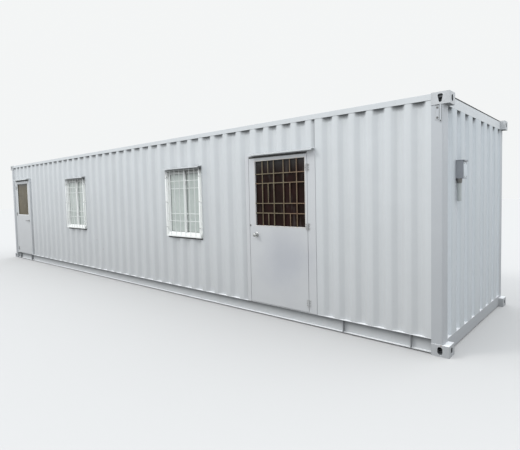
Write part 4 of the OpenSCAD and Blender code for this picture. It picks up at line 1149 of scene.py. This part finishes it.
def windowPieces(side, v):
    low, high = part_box(side + "_window_frame")
    x0, x1, z0, z1 = low.x, high.x, low.z, high.z
    roundedCopy(side + "_window_frame", side + "WindowFrame", v["frameEdge"], "whiteEnamel")
    roundedCopy(side + "_window_sashes", side + "WindowSashes", v["sashEdge"], "whiteEnamel")
    back = v["guardBack"] - buried
    guard = border(x0, x1, v["guardFront"], v["guardBack"], z0, z1, v["guardFace"])
    for x in (x0, x1 - v["lugWide"]):
        for s in v["lugs"]:
            z = z0 + s * (z1 - z0)
            guard.append((x, x + v["lugWide"], back, leafFace, z, z + v["lugHigh"]))
    guard.append((x0, x1, back, leafFace, z0, z0 + 0.006))
    slabs(side + "WindowGuardFrame", guard, "whiteEnamel", "root", [side + "_window_guard"], 0.0010)
    uprights = [x0 + i * (x1 - x0) / (v["bars"] + 1) for i in range(1, v["bars"] + 1)]
    levels = [z0 + (1 - s) * (z1 - z0) for s in v["bands"]]
    bars = [((x, v["uprightsAt"], z0 + 0.003), (x, v["uprightsAt"], z1 - 0.003)) for x in uprights]
    bars += [((x0 + 0.003, v["bandsAt"], z), (x1 - 0.003, v["bandsAt"], z)) for z in levels]
    rods(side + "WindowGuardBars", bars, v["barRadius"], "barEnamel", "root", 12)
    # dark strips of painted shadow under the hood and under the sill
    slabs(side + "HoodShadowStrip", [(x0 + 0.002, x1 - 0.002, leafFace - 0.0030, leafFace + buried, z1 - 0.034,
                                 z1 - 0.001)], "sealRubber", "root")
    slabs(side + "SillShadowStrip", [(x0 + 0.004, x1 - 0.004, *v["sillShadowY"], z0 - 0.026, z0 - 0.0005)], "sealRubber", "root")
    paintNode(side + "_window_glass", "windowGlass")
    sillPiece(side + "WindowSill", x0 + 0.001, x1 - 0.001, z0, v)
    seals, gap = [], v["sashFace"] + v["sealGap"]
    for start, y in v["sashes"]:
        for way in (-1, 1):
            seals += fourSides(x0 + start + gap, x0 + start + v["sashWide"] - gap, z0 + v["sashStart"] + gap,
                               z1 - v["sashStart"] - gap, y + way * (v["glass"] / 2 + v["sealGap"]))
    rods(side + "WindowGlassSeal", seals, v["seal"], "sealRubber", "root", 6)
    places = [(x + way * v["dotShift"], v["dotsAt"], z) for x in uprights for z in levels for way in (-1, 1)]
    dots = newPiece(side + "GuardWeldDots", places, (), (), (0, -1, 0))
    growWith(dots, "fixingHeads", "barEnamel", Radius=0.0034, Height=0.0030, Washer=1.1, Sides=8, Seed=4)
    attach(makePlain(dots, 40), "root")


for side in ("near", "far"):
    windowPieces(side, windowValues)
print("stage: windows")

# power inlet: box, cover, gland and ribbed conduit
inletValues = {"coverInset": 0.007, "coverProud": 0.0022, "brim": 0.012, "lap": 0.006, "lid": 0.005, "lip": 0.012,
               "conduit": 0.0215, "glandHeight": 0.050, "ribSpacing": 0.0085, "ribHeight": 0.045}
roundedCopy("inlet_box", "inletBox", 0.0022, "greyBox")
low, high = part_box("inlet_box")
front, inset = high.x - inletValues["brim"], inletValues["coverInset"]
y0, y1 = low.y + inletValues["lap"] + inset, high.y - inletValues["lap"] - inset
z0, z1 = low.z + inset, high.z - inletValues["lid"] - inletValues["lip"] - inset
slabs("inletCover", [(front - buried, front + inletValues["coverProud"], y0, y1, z0, z1)], "boxCover", "root",
      (), 0.0014, 3)
tubeLow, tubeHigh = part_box("inlet_conduit")
glandX, glandY = (tubeLow.x + tubeHigh.x) / 2, (tubeLow.y + tubeHigh.y) / 2
glandProfile = [(0.0, 0.0), (0.028, 0.0), (0.028, 0.012), (0.0262, 0.0135), (0.0262, 0.016), (0.0275, 0.0175),
                (0.0275, 0.030), (0.0255, 0.033), (0.0255, 0.040), (0.0235, 0.047), (0.0205, 0.0495), (0.0, 0.0498)]
gland = turnedPiece("inletGland", glandProfile, (glandX, glandY, tubeHigh.z), (0, 0, -1), "dullSteel", 24)
tube = linePiece("inletConduit", [((glandX, glandY, tubeHigh.z - inletValues["glandHeight"] + 0.003),
                                   (glandX, glandY, tubeLow.z + 0.0005))])
growWith(tube, "ribbedTube", "conduitPlastic", Radius=inletValues["conduit"], Rib_Spacing=inletValues["ribSpacing"],
         Rib_Height=inletValues["ribHeight"], Sides=24)
attach(makePlain(tube, 50), "root", ["inlet_conduit"])
attach(gland, "root")
print("stage: power inlet")

# screws and bolts
fixingValues = {"hingeHeights": (0.285, 1.237, 1.960), "hingeSteps": (-0.028, 0.0, 0.028), "hingeFace": -1.2188,
                "hingeOut": 0.024, "pins": {"near": 4.401, "far": -5.738}, "guard": (0.12, 0.5, 0.86),
                "guardIn": 0.015, "guardUp": 0.02, "lug": (5.978, -1.2165), "lugHeights": (2.444, 2.348)}
outward = (0, -1, 0)


def fixings(name, points, aim, radius, height, body, washer=1.35, sides=12):
    piece = newPiece(name, points, (), (), aim)
    growWith(piece, "fixingHeads", "dullSteel", Radius=radius, Height=height, Washer=washer, Sides=sides, Seed=7)
    return attach(makePlain(piece, 38), body)


for door, toLeaf in (("near", -1), ("far", 1)):
    for part, way, body in (("Leaf", toLeaf, door + "_door"), ("Frame", -toLeaf, "root")):
        x = fixingValues["pins"][door] + way * fixingValues["hingeOut"]
        screws = [(x, fixingValues["hingeFace"], z + s) for z in fixingValues["hingeHeights"]
                  for s in fixingValues["hingeSteps"]]
        fixings(door + "DoorHingeScrews" + part, screws, outward, 0.0036, 0.0018, body)
screws = [(front + inletValues["coverProud"], y, z) for y in (y0 + 0.012, y1 - 0.012) for z in (z0 + 0.012, z1 - 0.014)]
fixings("inletCoverScrews", screws, (1, 0, 0), 0.0042, 0.0022, "root")
screws = []
for side in ("near", "far"):
    low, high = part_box(side + "_window_frame")
    for x in (low.x + fixingValues["guardIn"], high.x - fixingValues["guardIn"]):
        screws += [(x, windowValues["guardFront"], low.z + s * (high.z - low.z) + fixingValues["guardUp"])
                   for s in fixingValues["guard"]]
fixings("guardScrews", screws, outward, 0.0055, 0.0030, "root")
fixings("lugBolts", [(*fixingValues["lug"], z) for z in fixingValues["lugHeights"]], outward, 0.0090, 0.0045, "root",
        1.25, 6)

# bright bar (its paler finish a painted highlight), ring, and dark strips of painted shadow beside the bar and in the
# eye, of the lug under the near top corner
lugValues = {"bar": (6.0005, 6.0175), "barFront": -1.2186, "back": -1.2135, "top": 2.4715, "foot": 2.3260,
             "plate": 5.9605, "eye": (6.009, -1.2132, 2.3170)}
x0, x1 = lugValues["bar"]
back, top, foot = lugValues["back"], lugValues["top"], lugValues["foot"]
slabs("lugBar", [(x0, x1, lugValues["barFront"], back, foot, top)], "boxCover", "root", (), 0.0012)
# dark strips of painted shadow beside the bar and above it
slabs("lugShadowStrips", [(x0 - 0.0050, x0, -1.2175, back, foot - 0.004, top), (x1, x1 + 0.0028, -1.2170, back, foot, top),
                      (lugValues["plate"], x0, -1.2172, back, 2.4640, top)], "sealRubber", "root")
ringProfile = [(0.0062, 0.0), (0.0128, 0.0), (0.0136, 0.0015), (0.0136, 0.0045), (0.0122, 0.0056), (0.0075, 0.0056),
               (0.0062, 0.0045), (0.0062, 0.0)]
hollowProfile = [(0.0, 0.0), (0.0060, 0.0), (0.0060, 0.0012), (0.0, 0.0012)]
attach(turnedPiece("lugRing", ringProfile, lugValues["eye"], outward, "dullSteel", 24), "root")
# a dark disc of painted shade in the ring's eye
attach(turnedPiece("lugEyeShade", hollowProfile, lugValues["eye"], outward, "sealRubber", 16), "root")
# dark strip along the upper edge of the end headers
headerStripValues = {"at": 6.0280, "half": 0.0085, "wide": 1.050, "high": (2.5845, 2.5885)}
slabs("headerTopDarkStrips", [(side * headerStripValues["at"] - headerStripValues["half"], side * headerStripValues["at"] + headerStripValues["half"],
                        -headerStripValues["wide"], headerStripValues["wide"], *headerStripValues["high"]) for side in (-1, 1)],
      "sealRubber", "root")
print("stage: fixings")

# weld beads round the posts and the lug
weldValues = {"heights": (0.118, 2.473), "front": 1.2135, "frontRun": (5.920, 6.022), "end": 6.0365,
              "endRun": (1.199, 1.087)}
seams = []
for sx in (-1, 1):
    for sy in (-1, 1):
        for z in weldValues["heights"]:
            seams.append([(sx * x, sy * weldValues["front"], z) for x in weldValues["frontRun"]])
            seams.append([(sx * weldValues["end"], sy * y, z) for y in weldValues["endRun"]])
seams += [[(5.961, back, 2.330), (5.961, back, 2.470)], [(5.962, back, 2.3290), (6.000, back, 2.3290)]]
beads = growWith(linePiece("weldBeads", seams), "weldBead", "castingPaint", Spacing=0.0048, Radius=0.0036, Seed=5)
attach(makePlain(beads, 60), "root")
print("stage: welds")

low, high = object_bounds()
